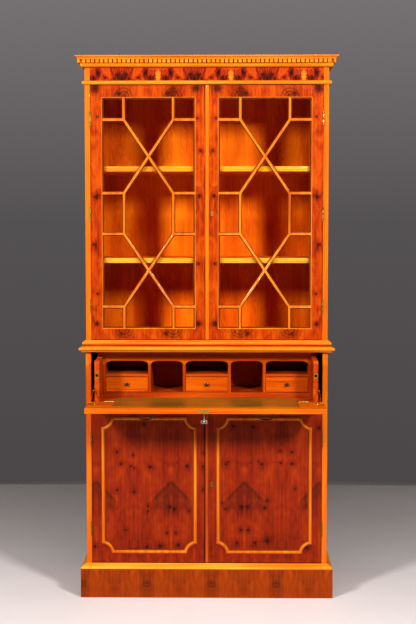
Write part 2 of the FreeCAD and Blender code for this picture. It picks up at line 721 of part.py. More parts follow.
def make_lock():
    """A cut lock let into the fall's front edge: case, selvedge plate, sliding bolt, escutcheon and key."""
    underside = writing_z - fall_thickness
    body = lock_body_box().fuse(lock_plate_box())
    bolt_z = (723.0, 728.0)
    bolt_way = block(bolt_x(0.3), (fall_front - 1, fall_front + 22), (bolt_z[0] - 0.3, bolt_z[1] + 0.3))
    chamber = rod((lock_x, lock_y, 721.5), (0, 0, 1), 8, 7.0)
    key_way = rod((lock_x, lock_y, 716), (0, 0, 1), 8, 2.1)
    body = cut(body, bolt_way, chamber, key_way)
    bush = rod((lock_x, lock_y, underside - 1.0), (0, 0, 1), 3.9, 3.8)
    escutcheon = rod((lock_x, lock_y, underside - 1.0), (0, 0, 1), 1.0, 8.0)
    collar = cut(bush.fuse(escutcheon), rod((lock_x, lock_y, underside - 2), (0, 0, 1), 6, 2.1))
    keep("fall_lock", body, collar)
    bolt = block(bolt_x(), (fall_front, fall_front + 12.5), bolt_z)
    keep("fall_lock_bolt", bolt)

    shank = rod((lock_x, lock_y, 691.0), (0, 0, 1), 36.0, 2.0)
    bit = block((lock_x + 1, lock_x + 6), (lock_y - 0.8, lock_y + 0.8), (722.5, 727.0))
    shoulder = rod((lock_x, lock_y, 705.0), (0, 0, 1), 2.5, 3.2)
    neck = rod((lock_x, lock_y, 691.5), (0, 0, 1), 3.0, 3.0)
    rings = [Part.makeTorus(4.6, 1.5, Vector(lock_x + side * 5.6, lock_y, 683.6), Vector(0, 1, 0))
             for side in (-1, 1)]
    crown = rod((lock_x, lock_y, 686.0), (0, 0, 1), 6.0, 1.6)
    keep("fall_key", fused([shank, bit, shoulder, neck, crown] + rings))


def make_catch_studs():
    """Ball-headed studs that spring into the catch plates, and the ears that carry the stays."""
    y = hinge_y - catch_from_hinge
    stem = rod((catch_x, y, writing_z - 8), (0, 0, 1), 12, 1.95)
    collar = rod((catch_x, y, writing_z), (0, 0, 1), 1.2, 4.6)
    head = Part.makeSphere(3.4, Vector(catch_x, y, writing_z + 4.8))
    stud = fused([stem, collar, head])
    ear_y = hinge_y + fall_pivot[0]
    ear_z = writing_z + fall_pivot[1]
    foot = block((ear_x[0], ear_x[1] + 9), (ear_y - 11, ear_y + 11), (writing_z, writing_z + 1.5))
    upright = block(ear_x, (ear_y - 5, ear_y + 5), (writing_z, ear_z))
    eye = rod((ear_x[0], ear_y, ear_z), (1, 0, 0), ear_x[1] - ear_x[0], 5.0)
    ear = fused([foot, upright, eye]).cut(rod((ear_x[0] - 1, ear_y, ear_z), (1, 0, 0), 4, 2.05))
    keep("fall_studs_and_stay_ears", *pair(stud), *pair(ear))


def make_handles():
    underside = writing_z - fall_thickness
    pivot_z = underside - bail_drop
    posts = []
    for x in post_centres():
        rose = rod((x, bail_y, underside - 2.0), (0, 0, 1), 2.0, 7.5)
        stem = rod((x, bail_y, pivot_z), (0, 0, 1), bail_drop + 9, 1.95)
        collar = rod((x, bail_y, underside - 8.0), (0, 0, 1), 6.5, 2.8)
        ball = Part.makeSphere(3.6, Vector(x, bail_y, pivot_z))
        bore = rod((x - 5, bail_y, pivot_z), (1, 0, 0), 10, 1.55)
        posts.append(fused([rose, stem, collar, ball]).cut(bore))
    keep("handle_posts", *posts)

    arm_half = 21.6
    wire = 2.4
    corner = 9.0
    drop = 17.5
    for name, centre in (("left_handle", -bail_x), ("right_handle", bail_x)):
        low = pivot_z - drop
        pieces = []
        for side in (-1, 1):
            arm_x = centre + side * arm_half
            pieces.append(rod((arm_x, bail_y, low + corner), (0, 0, 1), drop - corner, wire))
            pieces.append(Part.makeSphere(wire, Vector(arm_x, bail_y, pivot_z)))
            pieces.append(rod((arm_x, bail_y, pivot_z), (side, 0, 0), 10.5, 1.5))
            bend = Part.makeTorus(corner, wire, Vector(0, 0, 0), Vector(0, 1, 0))
            quarter = block((0, 20), (-5, 5), (-20, 0)) if side > 0 else block((-20, 0), (-5, 5), (-20, 0))
            bend = bend.common(quarter)
            bend.translate(Vector(arm_x - side * corner, bail_y, low + corner))
            pieces.append(bend)
        span = 2 * (arm_half - corner)
        pieces.append(rod((centre - span / 2, bail_y, low), (1, 0, 0), span, wire))
        keep(name, fused(pieces))


def stay_arm(start, end, x, pin_end):
    """A flat brass arm between two (Y, Z) points, with round ends; its pin sticks out at the start."""
    y0, z0 = hinge_y + start[0], writing_z + start[1]
    y1, z1 = hinge_y + end[0], writing_z + end[1]
    run = Vector(0, y1 - y0, z1 - z0)
    length = run.Length
    along = Vector(run).normalize()
    across = Vector(0, -along.z, along.y)
    foot = Vector(x[0], y0, z0)
    half = 3.6
    corners = [foot + across * half, foot + along * length + across * half,
               foot + along * length - across * half, foot - across * half]
    thick = Vector(x[1] - x[0], 0, 0)
    bar = Part.Face(Part.makePolygon(corners + corners[:1])).extrude(thick)
    ends = [rod((x[0], y, z), (1, 0, 0), x[1] - x[0], 4.5) for y, z in ((y0, z0), (y1, z1))]
    pin_low, pin_high = min(pin_end, x[0]), max(pin_end, x[1])
    pin = rod((pin_low, y0, z0), (1, 0, 0), pin_high - pin_low, 2.0)
    return fused([bar] + ends + [pin])


def make_stays():
    """Two-part folding stays, one beside each cheek, straight when the fall is open."""
    elbow = ((cheek_pivot[0] + fall_pivot[0]) / 2, (cheek_pivot[1] + fall_pivot[1]) / 2)
    keep("stay_cheek_arms", *pair(stay_arm(cheek_pivot, elbow, (403.3, 404.9), cheek_outer - 7)))
    keep("stay_fall_arms", *pair(stay_arm(fall_pivot, elbow, (405.6, 407.2), ear_x[1] + 0.8)))


# ---- Everything, sub-part by sub-part ------------------------------------------------------------------------

os.makedirs("parts", exist_ok=True)
make_plinth()
make_lower_case()
make_lower_doors()
make_upper_case()
make_cornice()
make_upper_doors()
make_case_hinge_leaves()
flap = make_secretaire_drawer()
make_fall(flap)
make_lock()
make_catch_studs()
make_handles()
make_stays()
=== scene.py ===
import json
import math

import bmesh
import bpy
import numpy as np
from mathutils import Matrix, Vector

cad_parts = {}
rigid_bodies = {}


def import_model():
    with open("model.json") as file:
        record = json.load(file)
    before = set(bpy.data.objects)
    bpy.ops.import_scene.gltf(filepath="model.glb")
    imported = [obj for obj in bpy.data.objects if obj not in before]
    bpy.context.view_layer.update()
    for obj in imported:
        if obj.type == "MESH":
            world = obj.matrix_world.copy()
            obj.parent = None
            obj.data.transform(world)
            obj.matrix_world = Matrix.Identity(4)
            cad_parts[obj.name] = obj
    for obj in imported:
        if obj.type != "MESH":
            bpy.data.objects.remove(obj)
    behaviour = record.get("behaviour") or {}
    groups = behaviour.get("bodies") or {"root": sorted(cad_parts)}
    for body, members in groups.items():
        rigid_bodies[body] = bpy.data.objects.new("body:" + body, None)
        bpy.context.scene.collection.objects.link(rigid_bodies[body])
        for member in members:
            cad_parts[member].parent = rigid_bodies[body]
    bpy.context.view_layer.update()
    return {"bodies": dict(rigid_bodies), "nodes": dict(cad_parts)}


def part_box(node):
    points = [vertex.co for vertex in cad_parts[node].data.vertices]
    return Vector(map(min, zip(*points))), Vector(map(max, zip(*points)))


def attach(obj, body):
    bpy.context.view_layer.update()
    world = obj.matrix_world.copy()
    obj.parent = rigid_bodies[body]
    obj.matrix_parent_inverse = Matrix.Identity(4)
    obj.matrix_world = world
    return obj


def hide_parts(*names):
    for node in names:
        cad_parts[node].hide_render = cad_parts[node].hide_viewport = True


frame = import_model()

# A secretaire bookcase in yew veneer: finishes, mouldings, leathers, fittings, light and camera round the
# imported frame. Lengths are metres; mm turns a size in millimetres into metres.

mm = 0.001
FRONT = (0.0, -1.0, 0.0)     # the direction that the desk faces
UP = (0.0, 0.0, 1.0)
SIDE = (1.0, 0.0, 0.0)


def low(node):
    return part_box(node)[0]


def high(node):
    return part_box(node)[1]


# ---- Places read from the frame ----------------------------------------------------------------------------

case_half = high("lower_side_panels").x
lower_front = low("lower_face_frame").y
upper_front = low("upper_face_frame").y
case_back = high("lower_side_panels").y
writing_z = high("bed_leather").z
glass_front = low("upper_left_door_glass").y
opening_low, opening_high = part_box("upper_left_door_astragals")


# ---- Surfaces ----------------------------------------------------------------------------------------------

def arc(start, end, bulge, count=8):
    """Points of a circular arc between two 2-D points. Its middle stands bulge to the right of the chord."""
    start, end = np.array(start, float), np.array(end, float)
    chord = end - start
    length = np.hypot(*chord)
    right = np.array([chord[1], -chord[0]]) / length
    radius = (length ** 2 / 4 + bulge ** 2) / (2 * abs(bulge))
    half_turn = math.asin(min(1.0, length / 2 / radius))
    if abs(bulge) > length / 2:
        half_turn = math.pi - half_turn
    turn = np.linspace(-half_turn, half_turn, count)
    along = (start + end) / 2 + chord / length * (radius * np.sin(turn))[:, None]
    lift = np.sign(bulge) * radius * (np.cos(turn) - math.cos(half_turn))
    return along + right * lift[:, None]


def line(*parts):
    """Join points and runs of points into one path."""
    return np.vstack([np.atleast_2d(np.array(part, float)) for part in parts])


def grid_faces(rows, columns, wrap_rows=False, wrap_columns=True):
    """Four-sided faces between neighbouring rows and columns of a grid of points."""
    row = np.arange(rows if wrap_rows else rows - 1)[:, None]
    column = np.arange(columns if wrap_columns else columns - 1)[None, :]
    next_row, next_column = (row + 1) % rows, (column + 1) % columns
    corners = [row * columns + column, row * columns + next_column,
               next_row * columns + next_column, next_row * columns + column]
    return np.stack(np.broadcast_arrays(*corners), -1).reshape(-1, 4).tolist()


def sweep(section, path, normal, closed=False):
    """A section carried along a flat path.

    A point is the path's point, plus u times the side direction there, plus v times the path's normal. At a
    corner the side direction is the sum of both runs' sides over one plus their cosine, which is a mitre.
    """
    section, path, normal = np.asarray(section, float), np.asarray(path, float), np.asarray(normal, float)
    runs = np.roll(path, -1, axis=0) - path if closed else np.diff(path, axis=0)
    runs = runs / np.linalg.norm(runs, axis=1)[:, None]
    sides = np.cross(normal, runs)
    before = np.roll(sides, 1, axis=0) if closed else np.vstack([sides[:1], sides])
    after = sides if closed else np.vstack([sides, sides[-1:]])
    side = (before + after) / (1 + np.sum(before * after, axis=1))[:, None]
    points = path[:, None] + section[None, :, :1] * side[:, None] + section[None, :, 1:] * normal
    count = len(section)
    faces = grid_faces(len(path), count, wrap_rows=closed)
    if not closed:
        last = (len(path) - 1) * count
        faces += [list(range(count)), list(range(last, last + count))]
    return points.reshape(-1, 3), faces


def lathe(profile, foot, axis=UP, around=28):
    """A turned piece: each (radius, height) of the profile swept round an axis through the foot."""
    profile, foot, axis = np.asarray(profile, float), np.asarray(foot, float), np.asarray(axis, float)
    aside = np.cross(axis, (0.31, 0.87, 0.38))
    aside /= np.linalg.norm(aside)
    angle = np.linspace(0, 2 * np.pi, around, endpoint=False)
    ring = np.cos(angle)[:, None] * aside + np.sin(angle)[:, None] * np.cross(axis, aside)
    points = foot + profile[:, None, :1] * ring[None] + profile[:, None, 1:] * axis
    faces = grid_faces(len(profile), around)
    return points.reshape(-1, 3), faces


def board(corner, opposite, ease=0.7 * mm, steps=2):
    """A board with rounded edges: the inner box's corner nearest a direction, plus ease times the direction.

    The directions run over latitude and longitude, so both ends close on the inner box's end faces.
    """
    corner, opposite = np.array(corner, float), np.array(opposite, float)
    half = (opposite - corner) / 2
    quarter = np.linspace(0, np.pi / 2, steps + 1)
    longitude = np.concatenate([quarter + turn * np.pi / 2 for turn in range(4)])
    signs = np.repeat([[1, 1], [-1, 1], [-1, -1], [1, -1]], steps + 1, axis=0)
    latitude = np.concatenate([quarter - np.pi / 2, quarter])
    end = np.repeat([-1, 1], steps + 1)
    direction = np.stack(np.broadcast_arrays(np.cos(latitude)[:, None] * np.cos(longitude),
                                             np.cos(latitude)[:, None] * np.sin(longitude),
                                             np.sin(latitude)[:, None]), -1)
    sign = np.stack(np.broadcast_arrays(signs[:, 0], signs[:, 1], end[:, None]), -1)
    points = (corner + half) + sign * (half - ease) + ease * direction
    rows, columns = len(latitude), len(longitude)
    ends = [[row * columns + turn * (steps + 1) for turn in range(4)] for row in (0, rows - 1)]
    return points.reshape(-1, 3), grid_faces(rows, columns) + ends


def sheet(corner, opposite, relief):
    """A flat sheet whose top is lowered by relief(distance to the nearest edge), over a flat underside."""
    spacing = 4 * mm
    (x0, y0, z0), (x1, y1, z1) = corner, opposite
    x = np.linspace(x0, x1, int((x1 - x0) / spacing) + 2)
    y = np.linspace(y0, y1, int((y1 - y0) / spacing * 2) + 2)
    across, along = np.meshgrid(x, y, indexing="ij")
    edge = np.minimum(np.minimum(across - x0, x1 - across), np.minimum(along - y0, y1 - along))
    top = np.stack([across, along, z1 - relief(edge)], -1)
    under = np.stack([across, along, np.full_like(across, z0)], -1)
    faces = np.array(grid_faces(len(x), len(y), wrap_columns=False))
    count = across.size
    index = np.arange(count).reshape(across.shape)
    rim = np.concatenate([index[:-1, 0], index[-1, :-1], index[:0:-1, -1], index[0, :0:-1]])
    skirt = np.stack([rim, np.roll(rim, -1), np.roll(rim, -1) + count, rim + count], -1)
    points = np.concatenate([top.reshape(-1, 3), under.reshape(-1, 3)])
    return points, faces.tolist() + (faces[:, ::-1] + count).tolist() + skirt.tolist()


def gather(shells):
    """Several closed shells as one list of points and faces."""
    points, faces, count = [], [], 0
    for shell_points, shell_faces in shells:
        points.append(shell_points)
        faces += [[index + count for index in face] for face in shell_faces]
        count += len(shell_points)
    return np.concatenate(points), faces


def mirror(shell):
    """The same shell on the other side of the middle."""
    points, faces = shell
    return points * (-1, 1, 1), faces


# ---- Pieces ------------------------------------------------------------------------------------------------

def body_of(node):
    """The name of the body that a node rides on."""
    parent = frame["nodes"][node].parent
    return next(name for name, empty in frame["bodies"].items() if empty == parent)


def lay_grain(mesh, work, finish):
    """Give each separate board of a mesh the finish whose grain runs along its longest side."""
    if isinstance(finish, bpy.types.Material):
        mesh.materials.append(finish)
        return
    axes = sorted(finish)
    for axis in axes:
        mesh.materials.append(finish[axis])
    unseen = set(work.faces)
    while unseen:
        island = [unseen.pop()]
        for face in island:
            beside = {other for edge in face.edges for other in edge.link_faces} & unseen
            unseen -= beside
            island += beside
        size = np.ptp([vert.co for face in island for vert in face.verts], axis=0)
        longest = axes.index("xyz"[np.argmax(size)])
        for face in island:
            face.material_index = longest


def settle(mesh, finish, smooth):
    """Merge doubled points, turn every face outwards, choose the finish, and shade smooth below an angle."""
    work = bmesh.new()
    work.from_mesh(mesh)
    bmesh.ops.remove_doubles(work, verts=work.verts, dist=0.001 * mm)
    bmesh.ops.recalc_face_normals(work, faces=work.faces)
    lay_grain(mesh, work, finish)
    work.to_mesh(mesh)
    work.free()
    mesh.shade_smooth()
    mesh.set_sharp_from_angle(angle=math.radians(smooth))


def dress(obj, node):
    """Put a piece in the scene on a node's body, in the node's place."""
    bpy.context.scene.collection.objects.link(obj)
    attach(obj, body_of(node))
    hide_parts(node)


def piece(name, shells, finish, node, smooth=38):
    """A piece made of closed shells, standing for the node named last."""
    points, faces = gather(shells)
    mesh = bpy.data.meshes.new(name)
    mesh.from_pydata(points.tolist(), [], faces)
    settle(mesh, finish, smooth)
    dress(bpy.data.objects.new(name, mesh), node)


FLAT = math.radians(1)       # faces that meet at less than this are one flat side
SQUARE = math.radians(50)    # edges sharper than this are rounded over
SHORTEST = 12 * mm           # shorter edges, as in a hinge's cut, stay as they were cut
FACING = 0.9                 # a side looks a given way if the cosine between them is more than this


def eased(node, finish, ease=0.7 * mm, face=None):
    """A joiner's copy of a node's boards, with their long sharp edges rounded over.

    A face is (finish, direction): the veneer on every side that looks that way.
    """
    name = node + "_finished"
    mesh = frame["nodes"][node].data.copy()
    mesh.materials.clear()
    mesh.name = name
    settle(mesh, finish, 8)
    work = bmesh.new()
    work.from_mesh(mesh)
    bmesh.ops.dissolve_limit(work, angle_limit=FLAT, verts=work.verts, edges=work.edges, delimit={"MATERIAL"})
    weight = work.edges.layers.float.new("bevel_weight_edge")
    for edge in work.edges:
        sharp = len(edge.link_faces) == 2 and edge.calc_face_angle(0) > SQUARE
        edge[weight] = 1.0 if sharp and edge.calc_length() > SHORTEST else 0.0
    if face:
        mesh.materials.append(face[0])
        for side in work.faces:
            if side.normal.dot(face[1]) > FACING:
                side.material_index = len(mesh.materials) - 1
    work.to_mesh(mesh)
    work.free()
    obj = bpy.data.objects.new(name, mesh)
    rounding = obj.modifiers.new("rounding", "BEVEL")
    rounding.width = ease
    rounding.segments = 2
    rounding.limit_method = "WEIGHT"
    rounding.use_clamp_overlap = False
    dress(obj, node)


def refinish(material, *nodes):
    """A better material for nodes whose shape is already right."""
    for node in nodes:
        for place in frame["nodes"][node].material_slots:
            place.material = material


# ---- Materials ---------------------------------------------------------------------------------------------

def shade(code):
    """An sRGB hex colour as linear red, green, blue and alpha."""
    parts = [int(code[i:i + 2], 16) / 255 for i in (1, 3, 5)]
    return [c / 12.92 if c <= 0.04045 else ((c + 0.055) / 1.055) ** 2.4 for c in parts] + [1.0]


def wire(tree, node, inputs):
    """Link each input of a node to the output given for it, or set it to the value given."""
    for name, value in inputs.items():
        if isinstance(value, bpy.types.NodeSocket):
            tree.links.new(value, node.inputs[name])
        else:
            node.inputs[name].default_value = value


def add(tree, kind, inputs=None, output=0, stops=None, **settings):
    """Add a node: settings are its properties, inputs are values or other nodes' outputs, stops a ramp's."""
    made = tree.nodes.new("ShaderNode" + kind)
    for name, value in settings.items():
        setattr(made, name, value)
    wire(tree, made, inputs or {})
    if stops:
        while len(made.color_ramp.elements) < len(stops):
            made.color_ramp.elements.new(0.5)
        for element, (place, colour) in zip(made.color_ramp.elements, stops):
            element.position = place
            element.color = shade(colour)
    return made.outputs[output]


def finish_tree(name):
    """A new material's tree and its Principled shader."""
    material = bpy.data.materials.new(name)
    material.use_nodes = True
    return material, material.node_tree, material.node_tree.nodes["Principled BSDF"]


TURN = {"x": (0.0, -math.pi / 2, 0.0), "y": (math.pi / 2, 0.0, 0.0), "z": (0.0, 0.0, 0.0)}
SMOOTH = {"interpolation_type": "SMOOTHSTEP"}
# The noises in yew: cells a metre across the grain, cells a metre along it, and the noise's other settings.
WOOD_NOISES = {"wobble": (230, 150, {"Detail": 3.0, "Roughness": 0.7}),
               "broad": (13, 2.2, {"Detail": 3.0, "Distortion": 0.6}),
               "drift": (9, 1.9, {"Detail": 4.0, "Roughness": 0.6}),
               "threads": (620, 9, {"Detail": 3.0, "Roughness": 0.6}),
               "streaks": (75, 3.2, {"Detail": 3.0, "Roughness": 0.62}),
               "patches": (26, 13, {"Detail": 4.0, "Roughness": 0.6, "Distortion": 1.2})}
PIPS = (62, 44)              # cells a metre across and along, one small dark pip in some of them
KNOT_BEND = 26 * mm          # how far the rings swing round a scattered knot
MARK_BEND = 6 * mm           # and round a placed one
SPINDLE = "#C87418"          # the pale figures in burr
QUIRK_SHADE = "#4A1602"            # painted shade: the dark brown laid in the quirks and hollows of mouldings


def yew(name, grain, tones, dark="#1C0702", ring=9, wander=40, rings_show=0.12, knots=0.0, knot_cell=90,
        pips=0.0, fibre=0.5, streaky=0.75, cloudy=0.9, mottle=0.0, recess_shade=None, leaf=None, matched=True,
        marks=(), pale_marks=(), swirls=(), flame=None, shift=(0, 0, 0)):
    """Yew, sliced, polished and lacquered: fine fibre, wandering rings, dark knots with rings round them.

    The grain runs along the named axis. Sizes are millimetres. Ring is the spacing of the growth rings, drawn
    a few times coarser than real ones so that they show, and wander is how far they stray. A leaf (joint,
    width) book-matches the veneer either side of each joint. A mark is (distance from the joint, height,
    radius), a pale mark has a half width and a half height instead, and a flame is (height of its point, how
    far it drops, half its width). Unmatched marks give their true place across. A swirl is a mark whose dark
    rings close in on one another. The recess shade is painted shade: as Y in metres, the bare crest and the
    depth where its dark brown lies full, so that the parts of a moulding further back are darkened.
    """
    material, tree, shader = finish_tree(name)
    untouched = add(tree, "TexCoord", output="Object")
    laid = untouched
    if leaf:
        x, y, z = add(tree, "SeparateXYZ", {0: laid}).node.outputs
        from_joint = add(tree, "Math", {0: x, 1: leaf[0] * mm}, operation="SUBTRACT")
        folded = add(tree, "Math", {0: from_joint, 1: leaf[1] * mm}, operation="PINGPONG")
        laid = add(tree, "CombineXYZ", {0: folded, 1: y, 2: z})
    turned = add(tree, "Mapping", {"Vector": laid, "Rotation": TURN[grain], "Location": shift})

    placed = bool(marks or pale_marks or swirls or flame)
    needless = {"wobble": not placed, "patches": not mottle}
    noise = {}
    for part, (across, along, settings) in WOOD_NOISES.items():
        if not needless.get(part):
            scaled = add(tree, "VectorMath", {0: turned, 1: (across, across, along)}, operation="MULTIPLY")
            noise[part] = add(tree, "TexNoise", {"Vector": scaled, "Scale": 1.0, **settings})

    # Each shadow is a mask of one kind of dark figure. Each bend is (mask, how far the rings swing there).
    shadows, bends = [], []
    if placed:
        folded_x, _, upright = add(tree, "SeparateXYZ", {0: laid}).node.outputs
        place_x = folded_x if matched else add(tree, "SeparateXYZ", {0: untouched})
        flat = add(tree, "CombineXYZ", {0: place_x, 2: upright})
        frayed = add(tree, "Math", {0: noise["wobble"], 1: 3.0, 2: -0.5}, operation="MULTIPLY_ADD")
    nearest = {}
    for kind, places in (("mark", marks), ("swirl", swirls)):
        for distance, height, radius in places:
            gap = add(tree, "VectorMath", {0: flat, 1: (distance * mm, 0, height * mm)},
                      operation="DISTANCE", output="Value")
            gap = add(tree, "Math", {0: gap, 1: 1 / (radius * mm)}, operation="MULTIPLY")
            if kind in nearest:
                gap = add(tree, "Math", {0: nearest[kind], 1: gap}, operation="MINIMUM")
            nearest[kind] = gap
    # A placed knot has a ragged dark eye, and a halo 3.4 times its radius where rings bend and wood darkens.
    if marks:
        halo = add(tree, "MapRange", {0: nearest["mark"], 1: 0.0, 2: 3.4, 3: 1.0, 4: 0.0}, **SMOOTH)
        bends.append((halo, MARK_BEND))
        ragged = add(tree, "Math", {0: nearest["mark"], 1: frayed}, operation="MULTIPLY")
        shadows.append(add(tree, "MapRange", {0: ragged, 1: 0.15, 2: 1.05, 3: 0.85, 4: 0.0}, **SMOOTH))
    # A swirl's rings are 0.26 of its radius apart, wavy, and die away at its edge.
    if swirls:
        uneven = add(tree, "Math", {0: frayed, 1: 0.22, 2: nearest["swirl"]}, operation="MULTIPLY_ADD")
        bands = add(tree, "Math", {0: uneven, 1: 0.13}, operation="PINGPONG")
        bands = add(tree, "Math", {0: bands, 1: 7.7}, operation="MULTIPLY")
        fade = add(tree, "MapRange", {0: nearest["swirl"], 1: 0.5, 2: 1.15, 3: 0.85, 4: 0.0}, **SMOOTH)
        shadows.append(add(tree, "Math", {0: bands, 1: fade}, operation="MULTIPLY"))
    # Scattered knots and pips: the given share of a Voronoi pattern's cells, dark near their middles.
    for share, across, along, near, far, most, swing in (
            (knots, 1000 / knot_cell, 620 / knot_cell, 0.03, 0.13, 1.0, KNOT_BEND),
            (pips, *PIPS, 0.05, 0.2, 0.8, 0.0)):
        if share:
            scaled = add(tree, "VectorMath", {0: turned, 1: (across, across, along)}, operation="MULTIPLY")
            cells = add(tree, "TexVoronoi", {"Vector": scaled, "Scale": 1.0})
            chosen = add(tree, "Math", {0: cells.node.outputs["Color"], 1: 1.0 - share},
                         operation="GREATER_THAN")
            spot = add(tree, "MapRange", {0: cells, 1: near, 2: far, 3: most, 4: 0.0}, **SMOOTH)
            shadows.append(add(tree, "Math", {0: chosen, 1: spot}, operation="MULTIPLY"))
            if swing:
                close = add(tree, "MapRange", {0: cells, 1: 0.0, 2: 0.42, 3: 1.0, 4: 0.0}, **SMOOTH)
                bends.append((close, swing))
    # A flame is an arch under a rounded point: a dark leg 44 mm wide, and a speckled belly inside it.
    if flame:
        point, drop, half = flame
        apex = add(tree, "CombineXYZ", {0: folded_x, 1: 13 * mm})
        rounded = add(tree, "VectorMath", {0: apex}, operation="LENGTH", output="Value")
        edge = add(tree, "Math", {0: rounded, 1: drop / half, 2: upright}, operation="MULTIPLY_ADD")
        for part, reach in ((noise["broad"], 50 * mm), (noise["wobble"], 26 * mm)):
            edge = add(tree, "Math", {0: part, 1: reach, 2: edge}, operation="MULTIPLY_ADD")
        below = add(tree, "Math", {0: (point + 56) * mm, 1: edge}, operation="SUBTRACT")
        start = add(tree, "MapRange", {0: below, 1: 0.0, 2: 16 * mm}, **SMOOTH)
        leg = add(tree, "MapRange", {0: below, 1: 14 * mm, 2: 44 * mm, 3: 0.62, 4: 0.0}, **SMOOTH)
        belly = add(tree, "MapRange", {0: below, 1: 36 * mm, 2: 96 * mm, 3: 0.8, 4: 0.0}, **SMOOTH)
        speckled = add(tree, "Math", {0: noise["wobble"], 1: belly}, operation="MULTIPLY")
        figure = add(tree, "Math", {0: leg, 1: speckled}, operation="MAXIMUM")
        sides = add(tree, "MapRange", {0: folded_x, 1: half * 0.75 * mm, 2: half * 1.25 * mm, 3: 1.0, 4: 0.0},
                    **SMOOTH)
        for part in (start, sides):
            figure = add(tree, "Math", {0: figure, 1: part}, operation="MULTIPLY")
        shadows.append(figure)

    # Growth rings are even steps of a depth that drifts and swings round knots.
    x, y, z = add(tree, "SeparateXYZ", {0: turned}).node.outputs
    depth = add(tree, "Math", {0: y, 1: 0.6, 2: x}, operation="MULTIPLY_ADD")
    for mask, swing in [(noise["drift"], wander * mm)] + bends:
        depth = add(tree, "Math", {0: mask, 1: swing, 2: depth}, operation="MULTIPLY_ADD")
    counted = add(tree, "Math", {0: depth, 1: 1 / (ring * mm)}, operation="MULTIPLY")
    rings = add(tree, "Math", {0: counted, 1: 0.5}, operation="PINGPONG")
    parts = [(rings, 2 * rings_show), (noise["broad"], cloudy), (noise["streaks"], streaky),
             (noise["threads"], 0.6 * fibre)]
    if mottle:
        parts.append((noise["patches"], mottle))
    # The tone is 0.5 where every part is at its middle; the ramp turns it from sapwood to heartwood colour.
    tone = 0.5 - sum(share / 2 for _, share in parts)
    if marks:
        parts.append((halo, 0.13))
    for part, share in parts:
        tone = add(tree, "Math", {0: part, 1: share, 2: tone}, operation="MULTIPLY_ADD")
    pale, mid, deep = tones
    colour = add(tree, "ValToRGB", {0: tone}, stops=[(0.25, pale), (0.5, mid), (0.78, deep)])
    layers = []
    if shadows:
        darkest = shadows[0]
        for other in shadows[1:]:
            darkest = add(tree, "Math", {0: darkest, 1: other}, operation="MAXIMUM")
        layers.append((darkest, dark))
    for distance, height, half_width, half_height in pale_marks:
        off = add(tree, "VectorMath", {0: flat, 1: (distance * mm, 0, height * mm)}, operation="SUBTRACT")
        off = add(tree, "VectorMath", {0: off, 1: (1000 / half_width, 0, 1000 / half_height)},
                  operation="MULTIPLY")
        off = add(tree, "VectorMath", {0: off}, operation="LENGTH", output="Value")
        off = add(tree, "Math", {0: off, 1: frayed}, operation="MULTIPLY")
        layers.append((add(tree, "MapRange", {0: off, 1: 0.3, 2: 1.2, 3: 0.8, 4: 0.0}, **SMOOTH), SPINDLE))
    # Painted shade: the parts of a moulding that lie further back than its crest turn dark brown, standing in
    # for the shade in its quirks and hollows.
    if recess_shade:
        out = add(tree, "SeparateXYZ", {0: untouched}, output=1)
        layers.append((add(tree, "MapRange", {0: out, 1: recess_shade[0], 2: recess_shade[1], 4: 0.92}, **SMOOTH), QUIRK_SHADE))
    for mask, code in layers:
        colour = add(tree, "Mix", {0: mask, 6: colour, 7: shade(code)}, data_type="RGBA", output=2)

    # The lacquer fills all but a trace of the fibre, and is a little duller over it.
    relief = add(tree, "Math", {0: rings, 1: 0.4, 2: noise["threads"]}, operation="MULTIPLY_ADD")
    bump = add(tree, "Bump", {"Height": relief, "Strength": 0.1, "Distance": 0.25 * mm})
    rough = add(tree, "Math", {0: noise["threads"], 1: 0.16, 2: 0.42}, operation="MULTIPLY_ADD")
    wire(tree, shader, {"Base Color": colour, "Roughness": rough, "Normal": bump, "IOR": 1.5,
                        "Specular IOR Level": 0.06, "Coat Weight": 0.14, "Coat Roughness": 0.06,
                        "Coat IOR": 1.5})
    return material


def ways(name, axes, tones, **figure):
    """The same finish with its grain laid along each axis that a piece needs."""
    return {axis: yew(name + "_" + axis, axis, tones, **figure) for axis in axes}


# Straight-grained sapwood of yew under clear lacquer, with thin brown ring lines: honey to orange on the
# mouldings, a deeper orange on the upright edges and the closing bead, palest on the plinth's slope.
SAPWOOD = dict(ring=7, wander=14, fibre=0.6, rings_show=0.2)
light_yew = ways("light_yew_lacquered", "xyz", ("#C2771C", "#BF640C", "#A44605"), **SAPWOOD)
edge_yew = ways("edge_yew_lacquered", "xyz", ("#C2660E", "#BF5505", "#A33B02"), **SAPWOOD)
slope_yew = ways("pale_yew_lacquered", "xyz", ("#D2912C", "#CF7A17", "#B2560B"), **SAPWOOD)
# Darker heartwood veneer on the sides, its streaks upright.
case_yew = yew("heartwood_yew_veneer", "z", ("#963B05", "#802B02", "#521901"), ring=16, wander=60, pips=0.05,
               fibre=0.6, shift=(0.3, 0, 0.7))
# The plinth's veneer is cut from the same stock: soft clouds, with a small swirl on every second joint.
plinth_yew = yew("plinth_yew_veneer", "z", ("#9B4505", "#853302", "#551E01"), ring=14, wander=60,
                 streaky=0.2, cloudy=0.5, mottle=0.6, rings_show=0.08, leaf=(18, 119), swirls=[(0, 54, 20)],
                 shift=(0.1, 0, 0.2))
